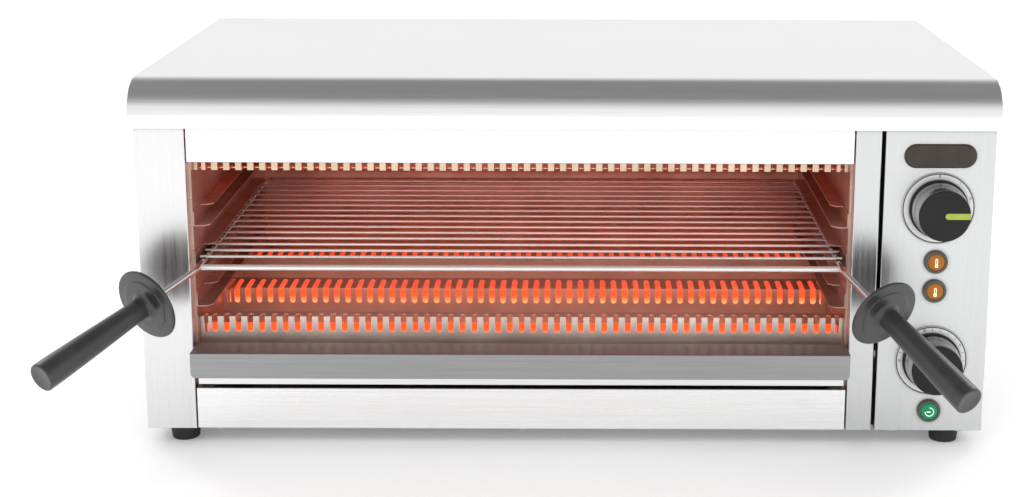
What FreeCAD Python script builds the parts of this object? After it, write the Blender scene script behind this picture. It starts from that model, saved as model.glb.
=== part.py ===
import FreeCAD, Part
import math
import operator
import os

import Sketcher
from FreeCAD import Placement, Rotation, Vector

# Counter-top salamander grill. Millimetres. X runs to the right, Y from the front to the back, Z up.
# The pieces are drawn about the cabinet: X = 0 midway between the side panels, Y = 0 on the front face
# of the posts, Z = 0 on the counter. One shift at the end puts the origin under the middle of the part.

doc = FreeCAD.newDocument("salamander_grill")
sheet = doc.addObject("Spreadsheet::Sheet", "Sizes")

OPERATIONS = {"+": operator.add, "-": operator.sub, "*": operator.mul, "/": operator.truediv}


class Size:
    """A number together with the expression that gives it from the cells of the sheet."""

    def __init__(self, value, text):
        self.value = float(value)
        self.text = text

    def __add__(self, other):
        return combine(self, "+", other)

    def __radd__(self, other):
        return combine(other, "+", self)

    def __sub__(self, other):
        return combine(self, "-", other)

    def __rsub__(self, other):
        return combine(other, "-", self)

    def __mul__(self, other):
        return combine(self, "*", other)

    def __rmul__(self, other):
        return combine(other, "*", self)

    def __truediv__(self, other):
        return combine(self, "/", other)

    def __neg__(self):
        return combine(0, "-", self)

    def __float__(self):
        return self.value


def as_size(number):
    return number if isinstance(number, Size) else Size(number, f"{float(number):g}")


def combine(first, sign, second):
    first = as_size(first)
    second = as_size(second)
    value = OPERATIONS[sign](first.value, second.value)
    return Size(value, f"({first.text} {sign} {second.text})")


aliases = []


def size(alias, number):
    """Writes one driving dimension into the sheet and names its cell."""
    aliases.append(alias)
    row = len(aliases)
    sheet.set(f"A{row}", alias)
    sheet.set(f"B{row}", str(number))
    sheet.setAlias(f"B{row}", alias)
    return Size(number, f"Sizes.{alias}")


# Cabinet
cabinet_width = size("cabinet_width", 706)
cabinet_depth = size("cabinet_depth", 366)
overall_height = size("overall_height", 313)
foot_height = size("foot_height", 15)
steel = size("steel", 1)
bend_radius = size("bend_radius", 1)
flange_width = size("flange_width", 12)
front_return = size("front_return", 10)
fit_gap = size("fit_gap", 0.3)
hole_clearance = size("hole_clearance", 0.3)

# Top cover: a deep lid with a rounded nose, its skirt hanging outside the side panels
cover_side_overhang = size("cover_side_overhang", 3.5)
cover_front_overhang = size("cover_front_overhang", 3)
cover_back_overhang = size("cover_back_overhang", 4)
cover_skirt = size("cover_skirt", 38.5)
cover_nose_radius = size("cover_nose_radius", 28)
cover_edge_bevel = size("cover_edge_bevel", 0.7)

# Front: wide left post, opening, narrow right post, control panel, and the fascias over and under
left_post_width = size("left_post_width", 42)
opening_width = size("opening_width", 549)
right_post_width = size("right_post_width", 21.5)
panel_seam = size("panel_seam", 3)
fascia_seam = size("fascia_seam", 1.2)
upper_fascia_height = size("upper_fascia_height", 28.9)
front_tuck = size("front_tuck", 7.5)
lower_fascia_height = size("lower_fascia_height", 36)

# Cavity
wall_inset = size("wall_inset", 2)
cavity_back_gap = size("cavity_back_gap", 30)
roof_rise = size("roof_rise", 22.4)
ledge_width = size("ledge_width", 12)

# Rails: three levels of C sections, open towards the cavity
rail_rise = size("rail_rise", 11.5)
rail_pitch = size("rail_pitch", 34.7)
rail_height = size("rail_height", 12.4)
rail_end_gap = size("rail_end_gap", 56)
rail_floor_width = size("rail_floor_width", 13.4)
rail_roof_width = size("rail_roof_width", 11)
rail_relief = size("rail_relief", 27)
rail_chamfer = size("rail_chamfer", 5)

# Crumb tray
tray_lift = size("tray_lift", 2.6)
tray_side_clearance = size("tray_side_clearance", 1.5)
tray_face_clearance = size("tray_face_clearance", 2.5)
tray_setback = size("tray_setback", 2)
tray_end_gap = size("tray_end_gap", 18)
tray_wall_height = size("tray_wall_height", 12)
tray_face_height = size("tray_face_height", 33.7)
tray_corner_radius = size("tray_corner_radius", 4)
tray_handle_clearance = size("tray_handle_clearance", 1.2)
tray_handle_reach = size("tray_handle_reach", 20)
tray_handle_back = size("tray_handle_back", 8.6)
tray_handle_drop = size("tray_handle_drop", 21.6)
tray_handle_hook = size("tray_handle_hook", 10)

# Heaters and their guards
heater_count = 3
heater_pitch = size("heater_pitch", 95)
guard_setback = size("guard_setback", 19)
guard_depth = size("guard_depth", 32)
front_guard_depth = size("front_guard_depth", 13)
guard_rise = size("guard_rise", 25.4)
lower_guard_height = size("lower_guard_height", 25)
front_guard_rise = size("front_guard_rise", 4)
upper_guard_drop = size("upper_guard_drop", 6.6)
upper_guard_height = size("upper_guard_height", 24)
lower_slot_length = size("lower_slot_length", 14)
upper_slot_length = size("upper_slot_length", 12)
slot_pitch = size("slot_pitch", 10)
slot_width = size("slot_width", 4.8)
slot_bridge = size("slot_bridge", 5)
end_notch_width = size("end_notch_width", 3.3)
end_tab_width = size("end_tab_width", 3.2)
tube_diameter = size("tube_diameter", 12)
tube_wall = size("tube_wall", 1)
coil_diameter = size("coil_diameter", 6)
tube_setback = size("tube_setback", 16)
lower_tube_gap = size("lower_tube_gap", 6)
upper_tube_gap = size("upper_tube_gap", 5)
cap_size = size("cap_size", 16)
cap_length = size("cap_length", 22)
cap_reach = size("cap_reach", 4)
cap_socket = size("cap_socket", 12)
cap_flange_size = size("cap_flange_size", 21)
cap_flange_length = size("cap_flange_length", 3)

# Rack and its handles
rod_diameter = size("rod_diameter", 5)
wire_diameter = size("wire_diameter", 2.5)
wire_count = 15
wire_overhang = size("wire_overhang", 3.2)
rack_side_clearance = size("rack_side_clearance", 3.2)
rack_weld = size("rack_weld", 0.8)
rack_end_gap = size("rack_end_gap", 29)
front_bar_reach = size("front_bar_reach", 5)
rod_corner_reach = size("rod_corner_reach", 9)
rod_bend_radius = size("rod_bend_radius", 12)
handle_length = size("handle_length", 169)
left_handle_splay = size("left_handle_splay", 34)
left_handle_dip = size("left_handle_dip", 16)
right_handle_splay = size("right_handle_splay", 29.5)
right_handle_dip = size("right_handle_dip", 21.6)
hand_guard_distance = size("hand_guard_distance", 59)
hand_guard_diameter = size("hand_guard_diameter", 60.6)
hand_guard_step_diameter = size("hand_guard_step_diameter", 44)
hand_guard_thickness = size("hand_guard_thickness", 4.6)
hand_guard_rim = size("hand_guard_rim", 3.2)
grip_root_diameter = size("grip_root_diameter", 17)
grip_end_diameter = size("grip_end_diameter", 23.2)
grip_flare = size("grip_flare", 4)
grip_end_bevel = size("grip_end_bevel", 1.4)
grip_end_wall = size("grip_end_wall", 8)
rod_fit = size("rod_fit", 0.05)

# Controls
badge_drop = size("badge_drop", 59.9)
selector_drop = size("selector_drop", 104)
upper_lamp_drop = size("upper_lamp_drop", 149.7)
middle_lamp_drop = size("middle_lamp_drop", 174.8)
timer_rise = size("timer_rise", 62.4)
power_lamp_rise = size("power_lamp_rise", 17.9)
badge_length = size("badge_length", 59.6)
badge_band = size("badge_band", 20)
badge_thickness = size("badge_thickness", 1.6)
badge_bevel = size("badge_bevel", 1)
dial_diameter = size("dial_diameter", 60.5)
dial_thickness = size("dial_thickness", 1)
knob_gap = size("knob_gap", 0.8)
knob_length = size("knob_length", 26)
knob_base_diameter = size("knob_base_diameter", 48.7)
knob_base_thickness = size("knob_base_thickness", 3)
knob_core_diameter = size("knob_core_diameter", 39)
knob_face_diameter = size("knob_face_diameter", 43)
knob_face_thickness = size("knob_face_thickness", 2.4)
knob_edge_bevel = size("knob_edge_bevel", 0.8)
skirt_base_diameter = size("skirt_base_diameter", 46.6)
pointer_width = size("pointer_width", 5)
pointer_depth = size("pointer_depth", 0.5)
shaft_diameter = size("shaft_diameter", 6)
shaft_insertion = size("shaft_insertion", 16)
bearing_length = size("bearing_length", 20)
panel_hole_clearance = size("panel_hole_clearance", 2)
switch_width = size("switch_width", 38)
switch_depth = size("switch_depth", 30)
timer_body_width = size("timer_body_width", 44)
timer_body_depth = size("timer_body_depth", 36)
lamp_bezel_diameter = size("lamp_bezel_diameter", 19.6)
lamp_bezel_height = size("lamp_bezel_height", 3)
lamp_bezel_bevel = size("lamp_bezel_bevel", 1)
lamp_lens_diameter = size("lamp_lens_diameter", 14.4)
lamp_lens_seat = size("lamp_lens_seat", 2)
lamp_lens_height = size("lamp_lens_height", 3.2)
lamp_lens_bevel = size("lamp_lens_bevel", 1)
lamp_barrel_diameter = size("lamp_barrel_diameter", 13)
lamp_barrel_length = size("lamp_barrel_length", 24)

# Feet, screws, vents and cable entry
foot_inset_side = size("foot_inset_side", 27.5)
foot_inset_front = size("foot_inset_front", 21)
foot_base_diameter = size("foot_base_diameter", 23.5)
foot_flare_angle = size("foot_flare_angle", 5.9)
screw_diameter = size("screw_diameter", 4)
screw_length = size("screw_length", 9)
screw_head_diameter = size("screw_head_diameter", 7)
screw_head_height = size("screw_head_height", 1.8)
screw_edge_distance = size("screw_edge_distance", 6)
screw_end_distance = size("screw_end_distance", 18)
cover_screw_rise = size("cover_screw_rise", 15)
vent_count = 5
vent_length = size("vent_length", 42)
vent_width = size("vent_width", 4)
vent_pitch = size("vent_pitch", 12)
vent_edge_distance = size("vent_edge_distance", 30)
gland_inset = size("gland_inset", 46)
gland_rise = size("gland_rise", 37)
gland_thread_diameter = size("gland_thread_diameter", 16)
gland_thread_length = size("gland_thread_length", 8)
gland_nut_size = size("gland_nut_size", 22)
gland_nut_thickness = size("gland_nut_thickness", 5)
gland_dome_diameter = size("gland_dome_diameter", 19)
gland_dome_length = size("gland_dome_length", 13)
gland_dome_bevel = size("gland_dome_bevel", 3.5)
gland_bore = size("gland_bore", 9)
terminal_length = size("terminal_length", 56)
terminal_depth = size("terminal_depth", 22)
terminal_height = size("terminal_height", 18)
terminal_well = size("terminal_well", 6)

# Round pieces have flats in place of a circle, so that their faces stay few
wide_sides = 32
narrow_sides = 20

# Lines that several pieces share
half_width = cabinet_width / 2
panel_edge = half_width - steel
back_line = cabinet_depth - steel
body_top = overall_height - steel
cover_bottom = overall_height - cover_skirt
base_top = foot_height + steel
opening_left = left_post_width - half_width
opening_right = opening_left + opening_width
opening_middle = opening_left + opening_width / 2
opening_top = cover_bottom - upper_fascia_height
front_top = overall_height - cover_nose_radius + front_tuck
partition_face = opening_right + right_post_width
panel_left = partition_face + panel_seam
controls_middle = (panel_left + half_width) / 2
wall_left = opening_left + wall_inset
wall_right = opening_right - wall_inset
cavity_back_line = cabinet_depth - cavity_back_gap
roof_line = opening_top + roof_rise
lower_fascia_top = foot_height + lower_fascia_height
tray_bottom = lower_fascia_top + tray_lift
ledge_top = tray_bottom - fit_gap
tray_handle_top = tray_bottom + tray_face_height + steel
lower_guard_bottom = tray_bottom + guard_rise
lower_guard_top = lower_guard_bottom + lower_guard_height
upper_guard_bottom = opening_top - upper_guard_drop
upper_guard_top = upper_guard_bottom + upper_guard_height
guard_half_length = (wall_right - wall_left) / 2 - fit_gap
first_tube = guard_setback + tube_setback
lower_tube_height = lower_guard_top - steel - lower_tube_gap - tube_diameter / 2
upper_tube_height = upper_guard_bottom + steel + upper_tube_gap + tube_diameter / 2
rail_bottom = lower_guard_top + front_guard_rise + rail_rise
rod_height = rail_bottom + rail_pitch + steel + fit_gap + rod_diameter / 2
wire_height = rod_height + (rod_diameter + wire_diameter) / 2
side_rod_offset = (wall_right - wall_left) / 2 - steel - rack_side_clearance - rod_diameter / 2
rack_back = cavity_back_line - rack_end_gap


def bind(thing, name, length):
    """Ties a property to the sheet."""
    thing.setExpression(name, as_size(length).text)


def new_body(label, many=False):
    """One named piece; many is for a group of alike separate pieces."""
    body = doc.addObject("PartDesign::Body", label)
    body.Label = label
    body.AllowCompound = many
    return body


def origin_part(body, role):
    return next(item for item in body.Origin.OriginFeatures if item.Role == role)


def hold(sketch, kind, geometry, point, length):
    """Holds one coordinate of a sketch point at a length that is tied to the sheet."""
    length = as_size(length)
    number = sketch.addConstraint(Sketcher.Constraint(kind, -1, 1, geometry, point, length.value))
    sketch.setExpression(f"Constraints[{number}]", length.text)


def hold_point(sketch, geometry, point, u, v):
    hold(sketch, "DistanceX", geometry, point, u)
    hold(sketch, "DistanceY", geometry, point, v)


def hold_radius(sketch, geometry, radius):
    number = sketch.addConstraint(Sketcher.Constraint("Radius", geometry, radius.value))
    sketch.setExpression(f"Constraints[{number}]", radius.text)


def flat(u, v):
    return Vector(float(u), float(v), 0)


def draw_outline(sketch, points):
    """A closed outline of straight lines through the points."""
    first = sketch.GeometryCount
    count = len(points)
    for i in range(count):
        sketch.addGeometry(Part.LineSegment(flat(*points[i]), flat(*points[(i + 1) % count])), False)
    for i in range(count):
        after = first + (i + 1) % count
        sketch.addConstraint(Sketcher.Constraint("Coincident", first + i, 2, after, 1))
    for i, (u, v) in enumerate(points):
        hold_point(sketch, first + i, 1, u, v)


def draw_circle(sketch, u, v, diameter):
    radius = as_size(diameter) / 2
    circle = sketch.addGeometry(Part.Circle(flat(u, v), Vector(0, 0, 1), radius.value), False)
    hold_radius(sketch, circle, radius)
    hold_point(sketch, circle, 3, u, v)


def draw_pill(sketch, u, v, length, width, upright):
    """A slot outline with round ends, its middle at (u, v)."""
    reach = (as_size(length) - width) / 2
    radius = as_size(width) / 2
    along = Vector(0, 1, 0) if upright else Vector(1, 0, 0)
    across = Vector(-along.y, along.x, 0)
    middle = flat(u, v)
    ends = [middle + along * reach.value, middle - along * reach.value]
    arcs = []
    for end, outward in zip(ends, (along, -along)):
        side = Vector(-outward.y, outward.x, 0) * radius.value
        shape = Part.Arc(end - side, end + outward * radius.value, end + side)
        arcs.append(sketch.addGeometry(shape, False))
    for sign in (1, -1):
        side = across * radius.value * sign
        line = sketch.addGeometry(Part.LineSegment(ends[0] + side, ends[1] + side), False)
        meets = ((1, arcs[0], 2), (2, arcs[1], 1)) if sign == 1 else ((1, arcs[0], 1), (2, arcs[1], 2))
        for point, arc, arc_point in meets:
            sketch.addConstraint(Sketcher.Constraint("Tangent", line, point, arc, arc_point))
    sketch.addConstraint(Sketcher.Constraint("Equal", arcs[0], arcs[1]))
    hold_radius(sketch, arcs[0], radius)
    for arc, sign in zip(arcs, (1, -1)):
        end_u = u if upright else u + sign * reach
        end_v = v + sign * reach if upright else v
        hold_point(sketch, arc, 3, end_u, end_v)


def new_sketch(body, role, start):
    """A sketch on one of the body's own planes, moved to start along the plane's X, Y or Z."""
    sketch = body.newObject("Sketcher::SketchObject", "Sketch")
    sketch.AttachmentSupport = [(origin_part(body, role), "")]
    sketch.MapMode = "FlatFace"
    along = -as_size(start) if role == "XZ_Plane" else as_size(start)
    sketch.AttachmentOffset = Placement(Vector(0, 0, along.value), Rotation())
    sketch.setExpression("AttachmentOffset.Base.z", along.text)
    return sketch


def fill_sketch(sketch, outlines, circles, pills):
    for outline in outlines:
        draw_outline(sketch, outline)
    for circle in circles:
        draw_circle(sketch, *circle)
    for pill in pills:
        draw_pill(sketch, *pill)


def pad(body, role, start, length, outlines=(), circles=(), pills=()):
    """Material from start to start + length along the plane's normal."""
    sketch = new_sketch(body, role, start)
    fill_sketch(sketch, outlines, circles, pills)
    feature = body.newObject("PartDesign::Pad", "Pad")
    feature.Profile = sketch
    feature.Reversed = role == "XZ_Plane"
    bind(feature, "Length", length)
    return feature


def pocket(body, role, start, length, outlines=(), circles=(), pills=()):
    """A cut from start to start + length along the plane's normal."""
    sketch = new_sketch(body, role, start)
    fill_sketch(sketch, outlines, circles, pills)
    feature = body.newObject("PartDesign::Pocket", "Pocket")
    feature.Profile = sketch
    feature.Reversed = role != "XZ_Plane"
    bind(feature, "Length", length)
    return feature


def repeat(body, features, axis, length, count, second=None):
    """Repeats features along an axis, first to last over the length, and along a second axis too."""
    row = body.newObject("PartDesign::LinearPattern", "Row")
    row.Originals = list(features)
    row.Direction = (origin_part(body, axis), [""])
    bind(row, "Length", length)
    row.Occurrences = count
    if second:
        row.Direction2 = (origin_part(body, second[0]), [""])
        bind(row, "Length2", second[1])
        row.Occurrences2 = second[2]
    body.Tip = row
    return row


def rectangle(u, v, width, height):
    """The corners of a rectangle whose lowest corner is at (u, v)."""
    return [(u, v), (u + width, v), (u + width, v + height), (u, v + height)]


def polygon(u, v, across, sides=6):
    """The corners of a regular polygon across the given flats, its middle at (u, v)."""
    corner = as_size(across) * (0.5 / math.cos(math.pi / sides))
    angles = [2 * math.pi * (i + 0.5) / sides for i in range(sides)]
    return [(u + corner * math.cos(angle), v + corner * math.sin(angle)) for angle in angles]


def folded_outline(path, left_side):
    """The outline of a folded sheet: one face follows the path, and the metal is on its left or right."""
    normals = []
    for (u, v), (next_u, next_v) in zip(path, path[1:]):
        step_u = float(next_u) - float(u)
        step_v = float(next_v) - float(v)
        length = math.hypot(step_u, step_v) * (1 if left_side else -1)
        normals.append((round(-step_v / length), round(step_u / length)))
    normals = [normals[0]] + normals + [normals[-1]]
    inner = []
    for (u, v), before, after in zip(path, normals, normals[1:]):
        shift_u = before[0] or after[0]
        shift_v = before[1] or after[1]
        inner.append((u + steel * shift_u, v + steel * shift_v))
    return list(path) + inner[::-1]


def slope(rise, run):
    """The angle in degrees whose tangent is rise over run."""
    angle = math.degrees(math.atan(float(rise) / float(run)))
    return Size(angle, f"atan({as_size(rise).text} / {as_size(run).text})")


def radial_bar(u, v, length, width, angle):
    """The corners of a bar that starts at (u, v) and points at an angle in degrees."""
    along = math.cos(math.radians(angle)), math.sin(math.radians(angle))
    return [
        (u + length * (end * along[0]) - width * (side * along[1]),
         v + length * (end * along[1]) + width * (side * along[0]))
        for end, side in ((0, -0.5), (1, -0.5), (1, 0.5), (0, 0.5))
    ]


def close(one, other):
    return abs(float(one) - float(other)) < 0.01


def runs_along(edge, axis):
    """Whether a straight edge runs along X (0), Y (1) or Z (2)."""
    first = edge.Vertexes[0].Point
    last = edge.Vertexes[-1].Point
    return all(close(first[i], last[i]) == (i != axis) for i in range(3))


def lies_at(edge, **place):
    """Whether every end of an edge has the given x, y or z."""
    ends = [end.Point for end in edge.Vertexes]
    return all(close(getattr(end, name), value) for end in ends for name, value in place.items())


def dress(body, kind, amount, chosen):
    """Rounds or bevels the edges of the body so far that the test chooses."""
    doc.recompute()
    last = body.Tip
    names = [f"Edge{i}" for i, edge in enumerate(last.Shape.Edges, 1) if chosen(edge)]
    feature = body.newObject(f"PartDesign::{kind}", kind)
    feature.Base = (last, names)
    bind(feature, "Radius" if kind == "Fillet" else "Size", amount)
    return feature


def taper(body, angle, **end):
    """Widens a prism away from its end at the given x, y or z; the angle is that of its sides."""
    doc.recompute()
    last = body.Tip
    axis = next(iter(end))
    caps = {}
    sides = []
    for i, face in enumerate(last.Shape.Faces, 1):
        places = [getattr(corner.Point, axis) for corner in face.Vertexes]
        if close(min(places), max(places)):
            caps[close(places[0], end[axis])] = f"Face{i}"
        else:
            sides.append(f"Face{i}")
    feature = body.newObject("PartDesign::Draft", "Draft")
    feature.Base = (last, sides)
    feature.NeutralPlane = (last, [caps[True]])
    feature.Reversed = True
    bind(feature, "Angle", angle)


def fold_sheet(body, role, start, length, path, left_side, round_bends=False):
    """A folded sheet: the path of its profile, made steel thick and as long as given."""
    pad(body, role, start, length, [folded_outline(path, left_side)])
    if round_bends:
        axes = {"YZ_Plane": "yz", "XZ_Plane": "xz", "XY_Plane": "xy"}[role]
        bends = [dict(zip(axes, corner)) for corner in path[1:-1]]
        dress(body, "Fillet", bend_radius, lambda edge: any(lies_at(edge, **bend) for bend in bends))


def trim_under_nose(body, left, width):
    """Cuts the front top corner back, so that it stays inside the cover's rounded nose."""
    nose_end = cover_nose_radius - cover_front_overhang + steel
    corner = [(0 * steel, front_top), (nose_end, body_top), (0 * steel, body_top)]
    pocket(body, "YZ_Plane", left, width, [corner])


nodes = []


def keep(piece):
    nodes.append(piece)
    return piece


# Casing

cover_left = -half_width - cover_side_overhang
cover_front = -cover_front_overhang
cover_width = cabinet_width + 2 * cover_side_overhang
cover_depth = cabinet_depth + cover_front_overhang + cover_back_overhang
cover_screw_height = cover_bottom + cover_screw_rise
cover_screw_rows = [cabinet_depth / 6, cabinet_depth * 5 / 6]


def screw_holes(places):
    """Six-sided holes that a screw passes through."""
    return [polygon(u, v, screw_diameter + hole_clearance) for u, v in places]


cover_screw_holes = screw_holes((row, cover_screw_height) for row in cover_screw_rows)


def make_top_cover():
    body = keep(new_body("top_cover"))
    back = cover_front + cover_depth
    for inset, make in ((0, pad), (steel, pocket)):
        profile = rectangle(
            cover_front + inset, cover_bottom, cover_depth - 2 * inset, cover_skirt - inset,
        )
        make(body, "YZ_Plane", cover_left + inset, cover_width - 2 * inset, [profile])
    for inset in (steel, 0 * steel):
        top = overall_height - inset
        dress(
            body, "Fillet", cover_nose_radius - inset,
            lambda edge: runs_along(edge, 0) and lies_at(edge, y=cover_front + inset, z=top),
        )
    cover_right = cover_left + cover_width
    dress(
        body, "Chamfer", cover_edge_bevel,
        lambda edge: lies_at(edge, x=cover_left) or lies_at(edge, x=cover_right) or lies_at(edge, y=back),
    )
    pocket(body, "YZ_Plane", cover_left, cover_width, cover_screw_holes)


def make_side_panel_left():
    body = keep(new_body("side_panel_left"))
    path = [
        (opening_left, front_return), (opening_left, 0), (-half_width, 0),
        (-half_width, back_line), (-half_width + flange_width, back_line),
    ]
    fold_sheet(body, "XY_Plane", foot_height, body_top - foot_height, path, False, True)
    trim_under_nose(body, -half_width, left_post_width)
    pocket(body, "YZ_Plane", -half_width, steel, cover_screw_holes)
    pocket(body, "XZ_Plane", back_line - steel, steel, screw_holes(back_screws(-1)))


def make_side_panel_right():
    body = keep(new_body("side_panel_right"))
    path = [
        (half_width - flange_width, steel), (half_width, steel),
        (half_width, back_line), (half_width - flange_width, back_line),
    ]
    fold_sheet(body, "XY_Plane", foot_height, body_top - foot_height, path, True)
    trim_under_nose(body, half_width - flange_width, flange_width)
    pocket(body, "YZ_Plane", panel_edge, steel, cover_screw_holes)
    pocket(body, "XZ_Plane", back_line - steel, steel, screw_holes(back_screws(1)))


back_screw_rows = [
    foot_height + screw_end_distance, (foot_height + cover_bottom) / 2, cover_bottom - screw_end_distance,
]


def back_screws(side):
    """Places of the screws down one side of the back panel."""
    column = side * (half_width - screw_edge_distance)
    return [(column, row) for row in back_screw_rows]


gland_middle = half_width - gland_inset
gland_height = foot_height + gland_rise


def make_back_panel():
    body = keep(new_body("back_panel"))
    sheet_outline = rectangle(-half_width, foot_height, cabinet_width, body_top - foot_height)
    pad(body, "XZ_Plane", back_line, steel, [sheet_outline])
    entry = polygon(gland_middle, gland_height, gland_thread_diameter + hole_clearance, 12)
    pocket(body, "XZ_Plane", back_line, steel, screw_holes(back_screws(-1) + back_screws(1)) + [entry])
    row_length = vent_pitch * (vent_count - 1)
    vent_bottom = cover_bottom - vent_edge_distance - vent_length / 2
    for start in (vent_edge_distance - half_width, half_width - vent_edge_distance - vent_width - row_length):
        vent = pocket(
            body, "XZ_Plane", back_line, steel, [rectangle(start, vent_bottom, vent_width, vent_length)],
        )
        repeat(body, [vent], "X_Axis", row_length, vent_count)


base_inner_edge = panel_edge - fit_gap
joggle_top = base_top + steel
foot_places = [
    (side * (half_width - foot_inset_side), row)
    for side in (-1, 1) for row in (foot_inset_front, cabinet_depth - foot_inset_front)
]
fascia_screws = [opening_left + screw_end_distance, opening_middle, opening_right - screw_end_distance]
panel_screws = [panel_left + front_return + screw_head_diameter / 2 + 1, half_width - screw_end_distance]


def make_base_plate():
    body = keep(new_body("base_plate"))
    rim_top = foot_height + front_return
    path = [
        (-base_inner_edge, rim_top), (-base_inner_edge, foot_height),
        (base_inner_edge, foot_height), (base_inner_edge, rim_top),
    ]
    fold_sheet(body, "XZ_Plane", front_return, back_line - steel - front_return, path, True)
    for left, right in (
        (opening_left + front_return, opening_right - front_return),
        (panel_left + front_return / 2, half_width - flange_width - 1),
    ):
        tongue = [
            (front_return, foot_height), (front_return + steel, foot_height),
            (front_return + steel, joggle_top),
            (screw_edge_distance - screw_head_diameter / 2, joggle_top),
            (screw_edge_distance - screw_head_diameter / 2, base_top), (front_return, base_top),
        ]
        pad(body, "YZ_Plane", left, right - left, [tongue])
    front_screws = [(column, screw_edge_distance) for column in fascia_screws + panel_screws]
    pocket(body, "XY_Plane", foot_height, 2 * steel, screw_holes(front_screws + foot_places))
    row_length = vent_pitch * (vent_count - 1)
    vent_front = (cabinet_depth - vent_length) / 2
    for start in (2 * vent_edge_distance - half_width, controls_middle - (row_length + vent_width) / 2):
        vent = pocket(
            body, "XY_Plane", foot_height, steel, [rectangle(start, vent_front, vent_width, vent_length)],
        )
        repeat(body, [vent], "X_Axis", row_length, vent_count)


fascia_left = opening_left + fascia_seam
fascia_width = opening_width - 2 * fascia_seam


def make_upper_fascia():
    body = keep(new_body("upper_fascia"))
    path = [
        (front_return, opening_top), (0, opening_top),
        (0, front_top), (front_return, front_top),
    ]
    fold_sheet(body, "YZ_Plane", fascia_left, fascia_width, path, False, True)
    wing = rectangle(opening_left, front_return / 2, opening_width, front_return / 2)
    pad(body, "XY_Plane", front_top - steel, steel, [wing])


def make_lower_fascia():
    body = keep(new_body("lower_fascia"))
    path = [
        (front_return, foot_height), (0, foot_height),
        (0, lower_fascia_top), (front_return, lower_fascia_top),
    ]
    fold_sheet(body, "YZ_Plane", fascia_left, fascia_width, path, False, True)
    screws = [(column, screw_edge_distance) for column in fascia_screws]
    pocket(body, "XY_Plane", foot_height, steel, screw_holes(screws))


badge_height = overall_height - badge_drop
selector_height = overall_height - selector_drop
upper_lamp_height = overall_height - upper_lamp_drop
middle_lamp_height = overall_height - middle_lamp_drop
timer_height = foot_height + timer_rise
power_lamp_height = foot_height + power_lamp_rise
control_hole = shaft_diameter + 2 * panel_hole_clearance
lamp_hole = lamp_barrel_diameter + 2 * hole_clearance


def make_control_panel():
    body = keep(new_body("control_panel"))
    path = [(panel_left, front_return), (panel_left, 0), (half_width, 0)]
    fold_sheet(body, "XY_Plane", foot_height, body_top - foot_height, path, True, True)
    foot_flange = rectangle(
        panel_left + steel / 2, steel / 2,
        half_width - flange_width - fit_gap - panel_left - steel / 2, front_return - steel / 2,
    )
    pad(body, "XY_Plane", foot_height, steel, [foot_flange])
    trim_under_nose(body, panel_left, half_width - panel_left)
    holes = [polygon(controls_middle, height, control_hole, 8) for height in (selector_height, timer_height)]
    holes += [
        polygon(controls_middle, height, lamp_hole, 12)
        for height in (upper_lamp_height, middle_lamp_height, power_lamp_height)
    ]
    pocket(body, "XZ_Plane", 0, steel, holes)
    screws = [(column, screw_edge_distance) for column in panel_screws]
    pocket(body, "XY_Plane", foot_height, steel, screw_holes(screws))


def make_divider_post():
    body = keep(new_body("divider_post"))
    partition_end = back_line - steel - fit_gap
    path = [
        (opening_right, front_return), (opening_right, 0),
        (partition_face, 0), (partition_face, partition_end),
    ]
    fold_sheet(body, "XY_Plane", foot_height, body_top - foot_height, path, True, True)
    trim_under_nose(body, opening_right, right_post_width)
    step = rectangle(front_return, foot_height, partition_end - front_return, steel)
    pocket(body, "YZ_Plane", partition_face - steel, steel, [step])


def make_badge_plate():
    body = keep(new_body("badge_plate"))
    pad(
        body, "XZ_Plane", -badge_thickness, badge_thickness,
        pills=[(controls_middle, badge_height, badge_length, badge_band, False)],
    )
    dress(body, "Chamfer", badge_bevel, lambda edge: lies_at(edge, y=-badge_thickness))


def make_feet():
    body = keep(new_body("feet", many=True))
    left = foot_places[0][0]
    foot = pad(body, "XY_Plane", 0, foot_height, [polygon(left, foot_inset_front, foot_base_diameter, 16)])
    bind(foot, "TaperAngle", foot_flare_angle)
    socket_bottom = base_top - screw_length
    hole = screw_holes([(left, foot_inset_front)])
    socket = pocket(body, "XY_Plane", socket_bottom, foot_height - socket_bottom, hole)
    repeat(
        body, [foot, socket], "X_Axis", 2 * (half_width - foot_inset_side), 2,
        ("Y_Axis", cabinet_depth - 2 * foot_inset_front, 2),
    )


def add_screws(body, role, places, head_start, shank_start):
    """Screws with six-sided heads and shanks at the places, along the plane's normal."""
    heads = [polygon(u, v, screw_head_diameter) for u, v in places]
    shanks = [polygon(u, v, screw_diameter) for u, v in places]
    pad(body, role, head_start, screw_head_height, heads)
    pad(body, role, shank_start, screw_length, shanks)


def make_foot_screws():
    body = keep(new_body("foot_screws", many=True))
    add_screws(body, "XY_Plane", foot_places, base_top, base_top - screw_length)


def make_case_screws():
    body = keep(new_body("case_screws", many=True))
    below = [(column, screw_edge_distance) for column in fascia_screws + panel_screws]
    beside = [(row, cover_screw_height) for row in cover_screw_rows]
    cover_right = cover_left + cover_width
    add_screws(body, "XY_Plane", below, foot_height - screw_head_height, foot_height)
    behind = back_screws(-1) + back_screws(1)
    add_screws(body, "XZ_Plane", behind, cabinet_depth, cabinet_depth - screw_length)
    add_screws(body, "YZ_Plane", beside, cover_left - screw_head_height, cover_left)
    add_screws(body, "YZ_Plane", beside, cover_right, cover_right - screw_length)


# Cavity

tube_rows = [first_tube + heater_pitch * i for i in range(heater_count)]
cap_hole = cap_size + 2 * fit_gap


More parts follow.
